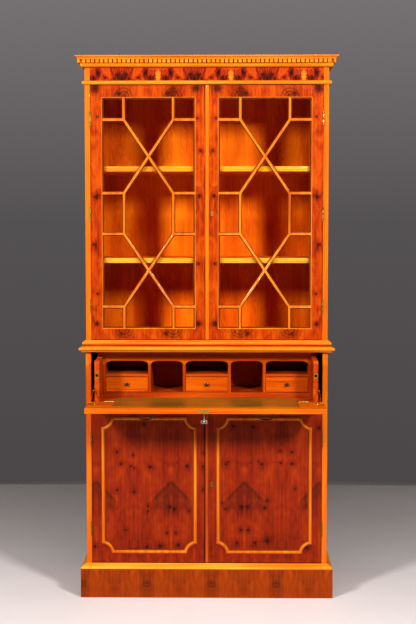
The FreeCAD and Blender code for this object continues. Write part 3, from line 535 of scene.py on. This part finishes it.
# Bright red-orange veneer on the bookcase doors, mirrored about the middle: knots up the stiles and dark
# crotch figure in the corners and beside the middle of each rail.
DOOR_KNOTS = [(403, 1474, 14), (27, 1476, 13), (398, 1762, 8), (35, 1758, 8), (405, 1866, 27), (38, 1866, 27),
              (318, 1846, 15), (142, 1846, 15), (312, 974, 13), (149, 974, 13), (400, 1120, 8), (30, 1230, 8),
              (30, 1010, 15), (402, 1010, 15), (410, 1300, 10), (22, 1640, 9)]
DOOR_MIDDLE = -(opening_low.x + opening_high.x) / 2 / mm
CROTCHES = [(DOOR_MIDDLE + aside, level / mm, 46)
            for aside in (-90, 90) for level in (opening_low.z, opening_high.z)]
door_yew = ways("bookcase_door_yew_veneer", "xz", ("#AA4901", "#912F00", "#5D1400"), ring=12, wander=55,
                knots=0.12, knot_cell=70, pips=0.08, shift=(0.05, 0, 0.23), fibre=0.4, streaky=0.35,
                cloudy=0.55, mottle=0.9, rings_show=0.1, leaf=(0, 430), marks=DOOR_KNOTS, swirls=CROTCHES)
# Bright veneer for the insides of the cabinets, with a few knots and broad, wandering clouds.
inside_yew = ways("inside_yew", "xyz", ("#F07B04", "#D65700", "#9B3300"), ring=6, wander=130, knots=0.15,
                  knot_cell=160, fibre=0.35, streaky=0.25, cloudy=0.8, rings_show=0.16)

# Cupboard doors: deep red-brown veneer in leaves 138 mm wide. A flame stands at one joint of each door, and
# knots lie in pairs either side of the joints.
CUPBOARD_KNOTS = {
    "left": [(-135, 334, 12), (-120, 327, 9), (-146, 237, 6), (-113, 237, 6), (-216, 319, 6), (-216, 338, 6),
             (-298, 248, 6), (-315, 494, 8), (-278, 486, 8), (-267, 479, 6), (-208, 483, 10), (-72, 487, 10),
             (-13, 484, 8), (-330, 538, 8), (-271, 527, 6), (-330, 397, 8), (-268, 390, 8), (-13, 398, 8),
             (-65, 320, 6), (-220, 184, 9), (-172, 188, 10), (-106, 192, 9), (-413, 187, 10), (-230, 642, 8),
             (-10, 536, 6)],
    "right": [(130, 335, 12), (149, 335, 9), (127, 249, 8), (153, 249, 8), (71, 495, 9), (79, 502, 8),
              (203, 495, 10), (192, 503, 6), (273, 499, 8), (314, 496, 9), (269, 544, 6), (313, 540, 8),
              (97, 636, 9), (170, 632, 9), (412, 629, 10), (112, 201, 9), (178, 201, 10), (223, 208, 12),
              (370, 183, 10), (71, 327, 6), (215, 332, 8), (222, 358, 8), (373, 343, 8), (57, 350, 6),
              (325, 403, 6)]}
cupboard_yew = {
    side: yew(side + "_cupboard_yew_veneer", "z", ("#983903", "#7B2102", "#4A0F01"), ring=14, wander=50,
              pips=0.06, streaky=0.2, cloudy=0.6, mottle=0.6, rings_show=0.07, leaf=(joint, 138),
              flame=(442, 86, 69), matched=False, marks=CUPBOARD_KNOTS[side])
    for side, joint in (("left", -131), ("right", 139))}
# Frieze: burr veneer in mirrored leaves, dark clusters of eyes between pale spindle-shaped figures.
burr_yew = yew("frieze_burr_yew_veneer", "z", ("#A13B02", "#781B01", "#340600"), ring=10, wander=70,
               knots=0.6, knot_cell=34, pips=0.35, fibre=0.4, streaky=0.25, cloudy=0.25, mottle=1.5,
               rings_show=0.2, leaf=(-44, 131.7), pale_marks=[(131.7, 1909, 10, 26)],
               marks=[(0, 1901, 22), (17, 1912, 13), (26, 1899, 11), (84, 1921, 8), (60, 1903, 8),
                      (100, 1903, 6)])
# Applied mouldings: pale sapwood on the ridges, and painted shade, dark brown, in the quirks and hollows
# beside them.
strip_yew = yew("cupboard_moulding_yew_shaded_quirks", "z", ("#C97921", "#C1620D", "#A24405"), ring=30, wander=30,
                recess_shade=(lower_front - 3.0 * mm, lower_front - 1.3 * mm))
astragal_yew = yew("glazing_bar_yew_shaded_hollows", "z", ("#D38227", "#C76D15", "#A44A06"), ring=30, wander=30,
                   recess_shade=(glass_front - 6.6 * mm, glass_front - 4.6 * mm))
toned_yew = yew("closing_bead_yew_toned_and_shaded", "z", ("#B4560E", "#9E3F07", "#742604"), ring=7, wander=14,
                recess_shade=(lower_front - 2.4 * mm, lower_front - 1.2 * mm))
# The ground between the dentils: a darker, redder copy of the moulding yew.
dentil_ground = yew("dentil_ground_darker_tone", "z", ("#B8580E", "#A24806", "#7A2C03"), ring=6, wander=10)
# The drawer's fronts and valance, and a darker, redder copy of the same yew for its cheeks, bed and
# partitions.
nook_yew = ways("pigeonhole_yew", "xyz", ("#BA6007", "#B14A01", "#802B01"), ring=8, knots=0.2, knot_cell=60,
                pips=0.03)
carcass_yew = ways("drawer_carcass_yew", "xyz", ("#AE4C0C", "#9A3604", "#6A1E01"), ring=8, knots=0.1,
                   knot_cell=80)
# The fall's outside: matched leaves like the cupboard doors', a little brighter.
fall_yew = yew("fall_front_yew_veneer", "y", ("#B04604", "#922C02", "#5C1401"), ring=12, wander=50,
               knots=0.25, knot_cell=60, pips=0.1, streaky=0.25, cloudy=0.7, mottle=0.6, rings_show=0.1,
               leaf=(0, 110))
# Unpolished backs: dull brown, hardly any shine.
plain_back = yew("unpolished_backboard", "z", ("#835C38", "#734C2A", "#55341A"), dark="#3A2414", ring=10,
                 wander=60)


def metal(name, colour, tarnish, roughness, wear=0.5, grit=900):
    """A cast or turned metal, rubbed bright on a darker skin: two tones by cloudy noise, and fine grit."""
    material, tree, shader = finish_tree(name)
    place = add(tree, "TexCoord", output="Object")
    clouds = add(tree, "TexNoise", {"Vector": place, "Scale": 90.0, "Detail": 4.0})
    grain = add(tree, "TexNoise", {"Vector": place, "Scale": float(grit), "Detail": 2.0})
    amount = add(tree, "MapRange", {"Value": clouds, "From Min": 0.35, "From Max": 0.68, "To Min": 0.0,
                                    "To Max": wear})
    tint = add(tree, "Mix", {0: amount, 6: shade(colour), 7: shade(tarnish)}, data_type="RGBA", output=2)
    rough = add(tree, "Math", {0: grain, 1: 0.25, 2: roughness}, operation="MULTIPLY_ADD")
    bump = add(tree, "Bump", {"Height": grain, "Strength": 0.08, "Distance": 0.1 * mm})
    wire(tree, shader, {"Base Color": tint, "Roughness": rough, "Normal": bump, "Metallic": 1.0})
    return material


brass = metal("brass_polished_and_toned", "#D9B25A", "#6E5220", 0.2)
dull_brass = metal("brass_left_to_tarnish", "#8F7A3C", "#3E3418", 0.34, wear=0.8)
steel = metal("steel_key_worn_bright", "#C8C4BC", "#6E6A64", 0.22)


def dark_lacquer(name):
    """Brass under a near-black lacquer, as on drop handles: rubbed a little brown where fingers reach."""
    material, tree, shader = finish_tree(name)
    place = add(tree, "TexCoord", output="Object")
    clouds = add(tree, "TexNoise", {"Vector": place, "Scale": 120.0, "Detail": 3.0})
    tint = add(tree, "ValToRGB", {0: clouds}, stops=[(0.35, "#0E0B09"), (0.62, "#17110C"), (0.8, "#2E1E10")])
    rough = add(tree, "Math", {0: clouds, 1: 0.3, 2: 0.22}, operation="MULTIPLY_ADD")
    wire(tree, shader, {"Base Color": tint, "Roughness": rough, "IOR": 1.5, "Coat Weight": 0.5,
                        "Coat Roughness": 0.15})
    return material


black_bronze = dark_lacquer("black_lacquered_brass")
knob_ebony = dark_lacquer("ebonised_knob")


def hide(name, node):
    """Skiver leather, dyed olive and glazed: cells of grain about 1.6 mm, a cloudy dye, and two gilt rules.

    The gilt follows the distance to the sheet's nearest edge, 9 mm and 13.5 mm in.
    """
    (x0, y0, _), (x1, y1, _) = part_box(node)
    material, tree, shader = finish_tree(name)
    place = add(tree, "TexCoord", output="Object")
    centred = add(tree, "Mapping", {"Vector": place, "Location": (-(x0 + x1) / 2, -(y0 + y1) / 2, 0)})
    distance = add(tree, "VectorMath", {0: centred}, operation="ABSOLUTE")
    half = ((x1 - x0) / 2, (y1 - y0) / 2, 1)
    inward = add(tree, "VectorMath", {0: half, 1: distance}, operation="SUBTRACT")
    split = add(tree, "SeparateXYZ", {0: inward})
    edge = add(tree, "Math", {0: split, 1: split.node.outputs[1]}, operation="MINIMUM")
    gilt = None
    for inset, width in ((9 * mm, 2.0 * mm), (13.5 * mm, 1.1 * mm)):
        rule = add(tree, "Math", {0: edge, 1: inset, 2: width / 2}, operation="COMPARE")
        gilt = rule if gilt is None else add(tree, "Math", {0: gilt, 1: rule}, operation="MAXIMUM")
    clouds = add(tree, "TexNoise", {"Vector": place, "Scale": 9.0, "Detail": 5.0})
    cells = add(tree, "TexVoronoi", {"Vector": place, "Scale": 620.0}, feature="DISTANCE_TO_EDGE")
    dye = add(tree, "ValToRGB", {0: clouds}, stops=[(0.3, "#604A10"), (0.55, "#6E5613"), (0.75, "#7E6419")])
    colour = add(tree, "Mix", {0: gilt, 6: dye, 7: shade("#E8B83C")}, data_type="RGBA", output=2)
    pressed = add(tree, "Math", {0: gilt, 1: -1.4, 2: cells}, operation="MULTIPLY_ADD")
    bump = add(tree, "Bump", {"Height": pressed, "Strength": 0.25, "Distance": 0.2 * mm})
    rough = add(tree, "Math", {0: clouds, 1: 0.12, 2: 0.28}, operation="MULTIPLY_ADD")
    wire(tree, shader, {"Base Color": colour, "Roughness": rough, "Normal": bump, "Metallic": gilt,
                        "IOR": 1.5, "Coat Weight": 0.3, "Coat Roughness": 0.2})
    return material


def pane_glass():
    """Window glass: clear, polished on both faces. Lamps' rays pass straight through it."""
    material, tree, shader = finish_tree("float_glass")
    wire(tree, shader, {"Base Color": shade("#F8FFFC"), "Roughness": 0.0, "IOR": 1.5,
                        "Transmission Weight": 1.0})
    clear = add(tree, "BsdfTransparent", {"Color": shade("#FBFFFD")})
    rays = add(tree, "LightPath", output="Is Camera Ray").node.outputs
    seen = add(tree, "Math", {0: rays["Is Shadow Ray"], 1: rays["Is Diffuse Ray"]}, operation="MAXIMUM")
    mixed = add(tree, "MixShader", {0: seen, 1: shader.outputs[0], 2: clear})
    tree.links.new(mixed, tree.nodes["Material Output"].inputs["Surface"])
    return material


glass = pane_glass()


# ---- Mouldings round the case ------------------------------------------------------------------------------

def round_case(profile, front):
    """A moulding round the front and both sides: its (overhang, height) profile carried round, with mitres.

    It comes as three closed lengths, which meet on the mitres.
    """
    profile = np.asarray(profile, float) * mm
    path = [(x, y, 0) for x, y in ((case_half, case_back), (case_half, front),
                                   (-case_half, front), (-case_half, case_back))]
    points = sweep(profile, path, UP)[0].reshape(4, len(profile), 3)
    faces = sweep(profile, path[:2], UP)[1]
    return [(points[index:index + 2].reshape(-1, 3), faces) for index in range(3)]


def make_case_mouldings():
    """Profiles drawn as runs of arcs: a slope on the plinth, a nose at the waist, a torus under the doors."""
    slope = line((0, 107), (21, 107), (21, 109.4), arc((20.6, 110), (4.4, 122.6), 1.6, 9), (3.2, 124.5),
                 (0, 124.5))
    nose = line((0, 909), (15, 909), arc((15.4, 911.2), (18.4, 913.6), -0.7, 4),
                arc((19, 914), (19, 925.4), 5, 12), arc((17.4, 925.8), (14.6, 928), -0.6, 4), (0, 928))
    torus = line((0, 928), (2, 928), (2, 932.2), (9.6, 932.6), arc((10.2, 933), (10.2, 944.4), 3.2, 12),
                 (9, 945.2), arc((8.4, 945.6), (4.2, 949.4), -1.2, 6), (0, 949.5))
    bead = line((0, 1878), (3.4, 1878), arc((4, 1878.6), (4, 1891.4), 5, 12), (3.4, 1892), (0, 1892))
    ovolo = line((0, 1940), (8, 1940), arc((8.6, 1940.6), (14, 1948), 1.8, 8), (14, 1953.8), (0, 1954))
    crown = line((0, 1967), (24, 1967), arc((24.2, 1967.8), (31, 1975.4), -1.8, 9), (32, 1976.6),
                 (32, 1979.2), (31.2, 1980), (0, 1980))
    for name, node, front, finish, profiles in (
            ("plinth_slope", "plinth_moulding", lower_front, slope_yew, (slope,)),
            ("waist_nose", "lower_waist_moulding", lower_front, light_yew, (nose,)),
            ("upper_foot_torus", "upper_waist_moulding", upper_front, light_yew, (torus,)),
            ("cornice_lengths", "cornice_mouldings", upper_front, light_yew, (bead, ovolo, crown))):
        shells = [shell for profile in profiles for shell in round_case(profile, front)]
        piece(name, shells, finish, node)


def make_dentils():
    """A strip with a row of small blocks: one every 16.1 mm, laid out from the middle and from the front."""
    pitch, tooth, proud, ease = 16.1 * mm, 12.0 * mm, 8 * mm, 0.8 * mm
    bottom, top = low("dentil_course").z, high("dentil_course").z
    out = high("dentil_course").x - case_half
    strip = out - proud
    flat = np.array([(0, bottom), (strip, bottom), (strip, top), (0, top)]) / mm
    piece("dentil_strip", round_case(flat, upper_front), dentil_ground, "dentil_course")
    teeth = []
    across = math.floor(2 * (case_half + strip) / pitch)
    for index in range(across):
        x = (index - (across - 1) / 2) * pitch
        teeth.append(board((x - tooth / 2, upper_front - out, bottom),
                           (x + tooth / 2, upper_front - strip, top), ease, 1))
    deep = math.floor((case_back - upper_front + out) / pitch)
    for index in range(deep):
        y = upper_front - out + index * pitch
        block = board((case_half + strip, y, bottom), (case_half + out, y + tooth, top), ease, 1)
        teeth += [block, mirror(block)]
    piece("dentil_blocks", teeth, light_yew["z"], "dentil_course")


# ---- Doors -------------------------------------------------------------------------------------------------

def hollow_cornered(x, z, bite, y):
    """A closed path round a panel whose corners are quarter circles centred on the panel's own corners."""
    (x0, x1), (z0, z1) = x, z
    quarter = np.linspace(0, math.pi / 2, 11)
    corners = (((x0, z0), math.pi / 2), ((x1, z0), math.pi), ((x1, z1), -math.pi / 2), ((x0, z1), 0.0))
    runs = []
    for (centre_x, centre_z), start in corners:
        angle = start - quarter
        runs.append(np.stack([centre_x + bite * np.cos(angle), np.full_like(angle, y),
                              centre_z + bite * np.sin(angle)], 1))
    return np.concatenate(runs)


def make_cupboard_door_mouldings():
    """A raised strip with a ridge and a quirk, carried round each door with hollow corners."""
    bite = 36 * mm
    section = line((0, 0), (0, 1.6), arc((0.4, 2.2), (4.2, 4.1), 0.5, 5), (6.2, 4.5), (7.6, 4.2),
                   arc((8.2, 3.6), (11.4, 2.2), -0.5, 5), (11.8, 1.0), (12.6, 0.8), (12.9, 1.9), (14.4, 2.0),
                   (15.0, 1.2), (15.0, 0)) * mm
    (x0, _, z0), (x1, _, z1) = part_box("lower_left_door_moulding")
    left = sweep(section, hollow_cornered((x0, x1), (z0, z1), bite, lower_front), FRONT, closed=True)
    for side, shell in (("left", left), ("right", mirror(left))):
        piece(side + "_cupboard_door_strip", [shell], strip_yew, f"lower_{side}_door_moulding")


def make_closing_beads():
    """A flat strip with a half-round nose, carried up each right door's meeting edge."""
    width, lip, nose = 12.5 * mm, 1.0 * mm, 0.6 * mm
    half = width / 2
    section = line((-half, 0), (-half, lip), arc((-half + nose, lip + nose), (half - nose, lip + nose),
                                                 -1.35 * mm, 11), (half, lip), (half, 0))
    for level, node, door, front, finish in (
            ("lower", "lower_right_door_moulding", "lower_right_door_panel", lower_front, toned_yew),
            ("upper", "upper_right_door_astragals", "upper_right_door_frame", upper_front, edge_yew["z"])):
        middle = low(node).x + half
        shell = sweep(section, [(middle, front, low(door).z), (middle, front, high(door).z)], FRONT)
        piece(level + "_closing_bead", [shell], finish, node)


def lattice():
    """The thirteen-pane pattern: each bar's middle line, from the opening's size."""
    (x0, _, z0), (x1, _, z1) = opening_low, opening_high
    middle_x, middle_z = (x0 + x1) / 2, (z0 + z1) / 2
    half_open, tall_open = (x1 - x0) / 2, (z1 - z0) / 2
    post, near, far = 90 * mm, 74 * mm, 340 * mm
    runs = []
    for side in (-1, 1):
        runs.append(((side * post, -near), (side * post, near)))
        for level in (-1, 1):
            runs.append(((side * post, level * far), (side * post, level * tall_open)))
            runs.append(((side * post, level * far), (side * half_open, level * far)))
            runs.append(((side * post, level * near), (side * half_open, level * near)))
            runs.append(((side * post, level * near), (-side * post, level * far)))
    return [tuple((middle_x + x, middle_z + z) for x, z in run) for run in runs]


def make_glazing_bars():
    """Each bar has two hollow shoulders and a round nose. It is carried along its line of the lattice."""
    nose, spare = 2.6, 4 * mm
    half_section = line((7.0, 0), (7.0, 1.6), (6.2, 2.4), arc((5.8, 2.6), (nose, 6.2), 0.9, 6))
    crest = arc((nose, 6.6), (-nose, 6.6), -0.9, 7)
    section = line(half_section, crest, half_section[::-1] * (-1, 1)) * mm
    (x0, _, z0), (x1, _, z1) = opening_low, opening_high
    bars = []
    for start, end in lattice():
        run = np.array(end) - np.array(start)
        along = run / np.linalg.norm(run) * spare
        ends = np.clip([start - along, end + along], (x0, z0), (x1, z1))
        bars.append(sweep(section, [(x, glass_front, z) for x, z in ends], FRONT))
    bead = line((0, 0), (0, 8.4), (0.8, 8.5), arc((1.6, 8.3), (7.4, 3.4), 1.4, 8), (8, 2.6), (8, 0)) * mm
    corners = [(x, glass_front, z) for x, z in ((x0, z0), (x1, z0), (x1, z1), (x0, z1))]
    bars.append(sweep(bead, corners, FRONT, closed=True))
    for side, shells in (("left", bars), ("right", [mirror(bar) for bar in bars])):
        piece(side + "_glazing_bars", shells, astragal_yew, f"upper_{side}_door_astragals")


def make_panes():
    """One flat sheet behind each door's bars, its edges just taken off."""
    for side in ("left", "right"):
        node = f"upper_{side}_door_glass"
        piece(side + "_panes", [board(*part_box(node), 0.4 * mm, 1)], glass, node)


# ---- Secretaire drawer -------------------------------------------------------------------------------------

def make_leathers():
    """Each leather dips by 0.3 mm at its turned-down edge and by 0.12 mm along the tooled lines."""
    def relief(edge):
        rim = 0.3 * mm * np.exp(-(edge / (1.5 * mm)) ** 2)
        tooled = 0.12 * mm * np.exp(-((edge - 11 * mm) / (2.5 * mm)) ** 2)
        return rim + tooled

    for name, node in (("writing_bed_leather", "bed_leather"), ("fall_writing_leather", "fall_leather")):
        piece(name, [sheet(*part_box(node), relief)], hide(name + "_skiver", node), node)


def make_valance():
    """A board carried across the drawer, whose lower edge rises in a flat arch over each bay.

    Near a bay's end the edge climbs as a quarter ellipse 30 mm long; between the ends it is level.
    """
    (x0, y0, z0), (x1, y1, z1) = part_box("arched_valance")
    posts = np.array([-374, -212, -83.5, 83.5, 212, 374]) * mm
    half, rise, run, ease = 5.5 * mm, 13 * mm, 30 * mm, 0.8 * mm
    x = np.unique(np.concatenate([np.linspace(x0, x1, 500), posts - half, posts + half]))
    bottom = np.full_like(x, z0)
    for index in range(5):
        start = posts[index] + (half if index > 0 else 0)
        end = posts[index + 1] - (half if index < 4 else 0)
        inside = np.clip(np.minimum(x - start, end - x) / run, 0, 1)
        bottom += rise * np.sqrt(1 - (1 - inside) ** 2)
    ring = []
    for y, z, back, up in ((y0, bottom, 1, 0), (y0, bottom, 0, 1), (y0, z1, 0, -1), (y0, z1, 1, 0),
                           (y1, z1, -1, 0), (y1, z1, 0, -1), (y1, bottom, 0, 1), (y1, bottom, -1, 0)):
        ring.append(np.stack(np.broadcast_arrays(x, y + back * ease, z + up * ease), -1))
    points = np.stack(ring, 1)
    count = len(ring)
    last = (len(x) - 1) * count
    faces = grid_faces(len(x), count) + [list(range(count)), list(range(last, last + count))]
    shell = (points.reshape(-1, 3), faces)
    piece("valance_with_arches", [shell], nook_yew["x"], "arched_valance")


def make_small_knobs():
    """Turned knobs: a foot, a thin neck and a domed head, in arcs."""
    profile = line((0, 9), (2, 9), (2, 0.4), (3.6, 0.4), (4.5, -0.2), arc((4.4, -0.8), (2.4, -3.6), -0.6, 6),
                   arc((2.4, -5), (6.6, -8.8), -0.5, 5), arc((7, -9.6), (4.6, -13.4), 1.3, 8),
                   arc((4.2, -13.6), (0, -14.5), 0.3, 6)) * mm
    for name in ("left", "centre", "right"):
        corner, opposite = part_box(name + "_knob")
        middle = (corner + opposite) / 2
        foot = (middle.x, low(name + "_small_drawer").y, middle.z)
        shell = lathe(profile * (1, -1), foot, FRONT)
        piece(name + "_turned_knob", [shell], knob_ebony, name + "_knob", smooth=50)


# ---- Handles and key ---------------------------------------------------------------------------------------

def circle(radius, count=16):
    """Points round a circle."""
    angle = np.linspace(0, 2 * np.pi, count, endpoint=False)
    return np.stack([radius * np.cos(angle), radius * np.sin(angle)], 1)


def make_handles():
    """A drop handle is one round wire: pivot, arm, bend, grip and back again. Its posts are turned."""
    wire_r, arm, bend, to_post = 2.4 * mm, 21.6 * mm, 9 * mm, 28 * mm
    grip = line((0, -9), (2.3, -9), arc((2.5, -8.6), (2.5, 8.6), 0.7, 12), (2.3, 9), (0, 9)) * mm
    ball = line((0, -2.4), arc((1.1, -2.2), (1.1, 2.2), 1.5, 10), (0, 2.4)) * mm
    pin = line((0, 0), (1.5, 0), (1.5, 9.8), (1.0, 10.4), (0, 10.5)) * mm
    post_head = line((0, -3.6), arc((0.6, -3.55), (2.2, 2.9), 2.3, 12), (1.95, 3.6)) * mm
    post_foot = line((2.8, -8), arc((2.8, -7.4), (3.4, -3), -0.4, 5), arc((6.6, -2), (7.5, -0.8), 0.3, 4),
                     (7.5, 0), (1.95, 0)) * mm
    under, top_z = writing_z - 19 * mm, high("handle_posts").z
    turn = np.linspace(0, math.pi / 2, 8)
    posts = []
    for name in ("left_handle", "right_handle"):
        corner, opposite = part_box(name)
        middle_x, y = (corner.x + opposite.x) / 2, (corner.y + opposite.y) / 2
        pivot_z, bottom = opposite.z - wire_r, corner.z + wire_r
        round_bend = np.stack([arm - bend + bend * np.cos(turn), bottom + bend - bend * np.sin(turn)], 1)
        half = line((arm, pivot_z), round_bend)
        whole = np.vstack([half, half[::-1] * (-1, 1)])
        path = np.stack([middle_x + whole[:, 0], np.full(len(whole), y), whole[:, 1]], 1)
        shells = [sweep(circle(wire_r), path, FRONT), lathe(grip, (middle_x, y, bottom), SIDE)]
        for end in (-1, 1):
            pivot = (middle_x + end * arm, y, pivot_z)
            shells += [lathe(ball, pivot, UP), lathe(pin, pivot, (end, 0, 0))]
            post = line(post_head + (0, pivot_z), post_foot + (0, under), (1.95 * mm, top_z), (0, top_z))
            posts.append(lathe(post, (middle_x + end * to_post, y, 0), UP))
        piece(name + "_bail", shells, black_bronze, name, smooth=50)
    piece("turned_handle_posts", posts, black_bronze, "handle_posts", smooth=50)


def make_key():
    """A pin key: a round shank with a bit, a collar, and a bow of two rings."""
    corner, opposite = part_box("fall_key")
    x, y = -5 * mm, (corner.y + opposite.y) / 2
    ring_r, ring_z = 4.6 * mm, corner.z + 6.1 * mm
    shank = line((0, 691), (2.6, 691), (3, 691.6), (3, 693.9), (2.6, 694.5), (2, 694.5), (2, 705), (2.8, 705),
                 (3.2, 705.6), (3.2, 706.9), (2.8, 707.5), (2, 707.5), (2, 726.6), (1.6, 727), (0, 727)) * mm
    neck = line((0, 686), (1.6, 686), (1.6, 691.4), (0, 691.4)) * mm
    bit = board((x + 1 * mm, y - 0.8 * mm, 722.5 * mm), (x + 6 * mm, y + 0.8 * mm, 727 * mm), 0.2 * mm, 1)
    shells = [lathe(shank, (x, y, 0), UP), lathe(neck, (x, y, 0), UP), bit]
    for ring_x in (x - 5.6 * mm, x + 5.6 * mm):
        ring = circle(ring_r, 32)
        path = np.stack([ring_x + ring[:, 0], np.full(32, y), ring_z + ring[:, 1]], 1)
        shells.append(sweep(circle(1.5 * mm, 12), path, FRONT, closed=True))
    piece("two_ring_key", shells, steel, "fall_key", smooth=50)


# ---- Boards and veneered pieces ----------------------------------------------------------------------------

def make_boards():
    """Boards keep their shape from the frame and get rounded edges and their own grain."""
    for node, finish, slot in (
            ("plinth_frame", plinth_yew, "case_yew"),
            ("lower_side_panels", case_yew, "case_yew"),
            ("upper_side_panels", case_yew, "case_yew"),
            ("lower_face_frame", edge_yew, "light_yew"),
            ("upper_face_frame", edge_yew, "light_yew"),
            ("lower_left_door_panel", cupboard_yew["left"], "cupboard_yew"),
            ("lower_right_door_panel", cupboard_yew["right"], "cupboard_yew"),
            ("upper_left_door_frame", door_yew, "door_yew"),
            ("upper_right_door_frame", door_yew, "door_yew"),
            ("frieze_board", burr_yew, "burr_yew"),
            ("cupboard_shelf", inside_yew["x"], "inside_wood"),
            ("drawer_bed", carcass_yew["x"], "inside_wood"),
            ("drawer_cheeks", carcass_yew["y"], "inside_wood"),
            ("pigeonhole_boards", carcass_yew["x"], "inside_wood"),
            ("pigeonhole_partitions", carcass_yew["z"], "inside_wood")):
        eased(node, finish)
    eased("fall_panel", nook_yew["x"], face=(fall_yew, (0, 0, -1)))
    for name in ("left", "centre", "right"):
        eased(name + "_small_drawer", nook_yew["x"], 0.5 * mm)
    for node in ("upper_back_panel", "lower_back_panel"):
        eased(node, inside_yew["z"], face=(plain_back, (0, 1, 0)))


def make_bookcase_shelves():
    """Two boards, each with a pale lipping along its front edge."""
    (x0, y0, _), (x1, y1, _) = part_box("bookcase_shelves")
    heights = [vert.co.z for vert in frame["nodes"]["bookcase_shelves"].data.vertices]
    lipping = 5 * mm
    boards, lippings = [], []
    for bottom, top in np.unique(np.round(heights, 4)).reshape(-1, 2):
        boards.append(board((x0, y0 + lipping, bottom), (x1, y1, top), 0.3 * mm, 1))
        lippings.append(board((x0, y0, bottom), (x1, y0 + lipping, top)))
    piece("bookcase_shelf_boards", boards, inside_yew["x"], "bookcase_shelves")
    piece("bookcase_shelf_lippings", lippings, slope_yew["x"], "bookcase_shelves")


def refinish_nodes():
    """Hidden boards and fittings are the right shape already, and get their finish only."""
    refinish(inside_yew["x"], "lower_end_boards", "upper_end_boards", "drawer_board", "drawer_back")
    refinish(brass, "catch_plates", "fall_hinge_fixed_leaves", "fall_hinge_leaves", "fall_lock",
             "fall_lock_bolt", "fall_studs_and_stay_ears", "stay_cheek_arms", "stay_fall_arms",
             "upper_right_door_fittings")
    refinish(dull_brass, "hinge_case_leaves", "upper_left_door_hinge_leaves", "lower_left_door_hinge_leaves",
             "lower_right_door_fittings")


# ---- Light, floor and camera -------------------------------------------------------------------------------

def make_camera():
    camera = bpy.data.objects.new("camera", bpy.data.cameras.new("camera"))
    camera.location = (0.075, -4.7145, 1.371)
    camera.rotation_euler = (math.radians(86.1), 0, math.radians(0.863))
    camera.data.lens = 73.6
    bpy.context.scene.collection.objects.link(camera)
    bpy.context.scene.camera = camera


def softbox(name, place, aim, size, power):
    """A rectangular soft lamp at a place, turned towards a point."""
    lamp = bpy.data.lights.new(name, "AREA")
    lamp.shape = "RECTANGLE"
    lamp.size, lamp.size_y = size
    lamp.energy = power
    obj = bpy.data.objects.new(name, lamp)
    toward = np.array(aim, float) - np.array(place, float)
    pitch = math.atan2(math.hypot(toward[0], toward[1]), -toward[2])
    obj.rotation_euler = (pitch, 0, math.atan2(-toward[0], toward[1]))
    obj.location = place
    bpy.context.scene.collection.objects.link(obj)


def make_studio():
    for name, x in (("left_softbox", -2.17), ("right_softbox", 1.9)):
        softbox(name, (x, -3.2, 2.6), (0, 0, 1.0), (0.55, 0.7), 150)
    softbox("overhead_softbox", (0, -1.9, 3.4), (0, -1.2, 0), (2.4, 1.8), 44)

    far_edge, near_edge, half = 1.95, -7.0, 6.0
    floor = bpy.data.meshes.new("studio_floor")
    corners = [(-half, near_edge, 0), (half, near_edge, 0), (half, far_edge, 0), (-half, far_edge, 0)]
    floor.from_pydata(corners, [], [(0, 1, 2, 3)])
    material, tree, shader = finish_tree("pale_painted_floor")
    place = add(tree, "TexCoord", output="Object")
    clouds = add(tree, "TexNoise", {"Vector": place, "Scale": 3.0, "Detail": 3.0})
    paint = add(tree, "ValToRGB", {0: clouds}, stops=[(0.3, "#D5CCC9"), (0.7, "#DAD1CE")])
    wire(tree, shader, {"Base Color": paint, "Roughness": 0.6})
    floor.materials.append(material)
    stage = bpy.data.objects.new("studio_floor", floor)
    bpy.context.scene.collection.objects.link(stage)

    world = bpy.data.worlds.new("studio")
    world.use_nodes = True
    tree = world.node_tree
    # Painted light on the backdrop: its grey is darkest just above the horizon and grows lighter higher up.
    # Camera rays see it at full strength, every other ray at 0.08 of it.
    direction = add(tree, "TexCoord", output="Generated")
    slope = add(tree, "SeparateXYZ", {0: direction}, output=2)
    height = add(tree, "MapRange", {"Value": slope, "From Min": -0.3, "From Max": 0.3})
    backdrop = add(tree, "ValToRGB", {0: height},
                   stops=[(0.14, "#A89E9C"), (0.17, "#504C4D"), (0.5, "#585556"), (0.8, "#777375")])
    seen = add(tree, "LightPath")
    strength = add(tree, "Math", {0: seen, 1: 0.92, 2: 0.08}, operation="MULTIPLY_ADD")
    background = tree.nodes["Background"]
    tree.links.new(backdrop, background.inputs["Color"])
    tree.links.new(strength, background.inputs["Strength"])
    bpy.context.scene.world = world
    bpy.context.scene.view_settings.view_transform = "Standard"
    bpy.context.scene.view_settings.look = "Medium High Contrast"


make_camera()
make_studio()
make_case_mouldings()
make_dentils()
make_cupboard_door_mouldings()
make_closing_beads()
make_glazing_bars()
make_panes()
make_leathers()
make_valance()
make_small_knobs()
make_handles()
make_key()
make_boards()
make_bookcase_shelves()
refinish_nodes()
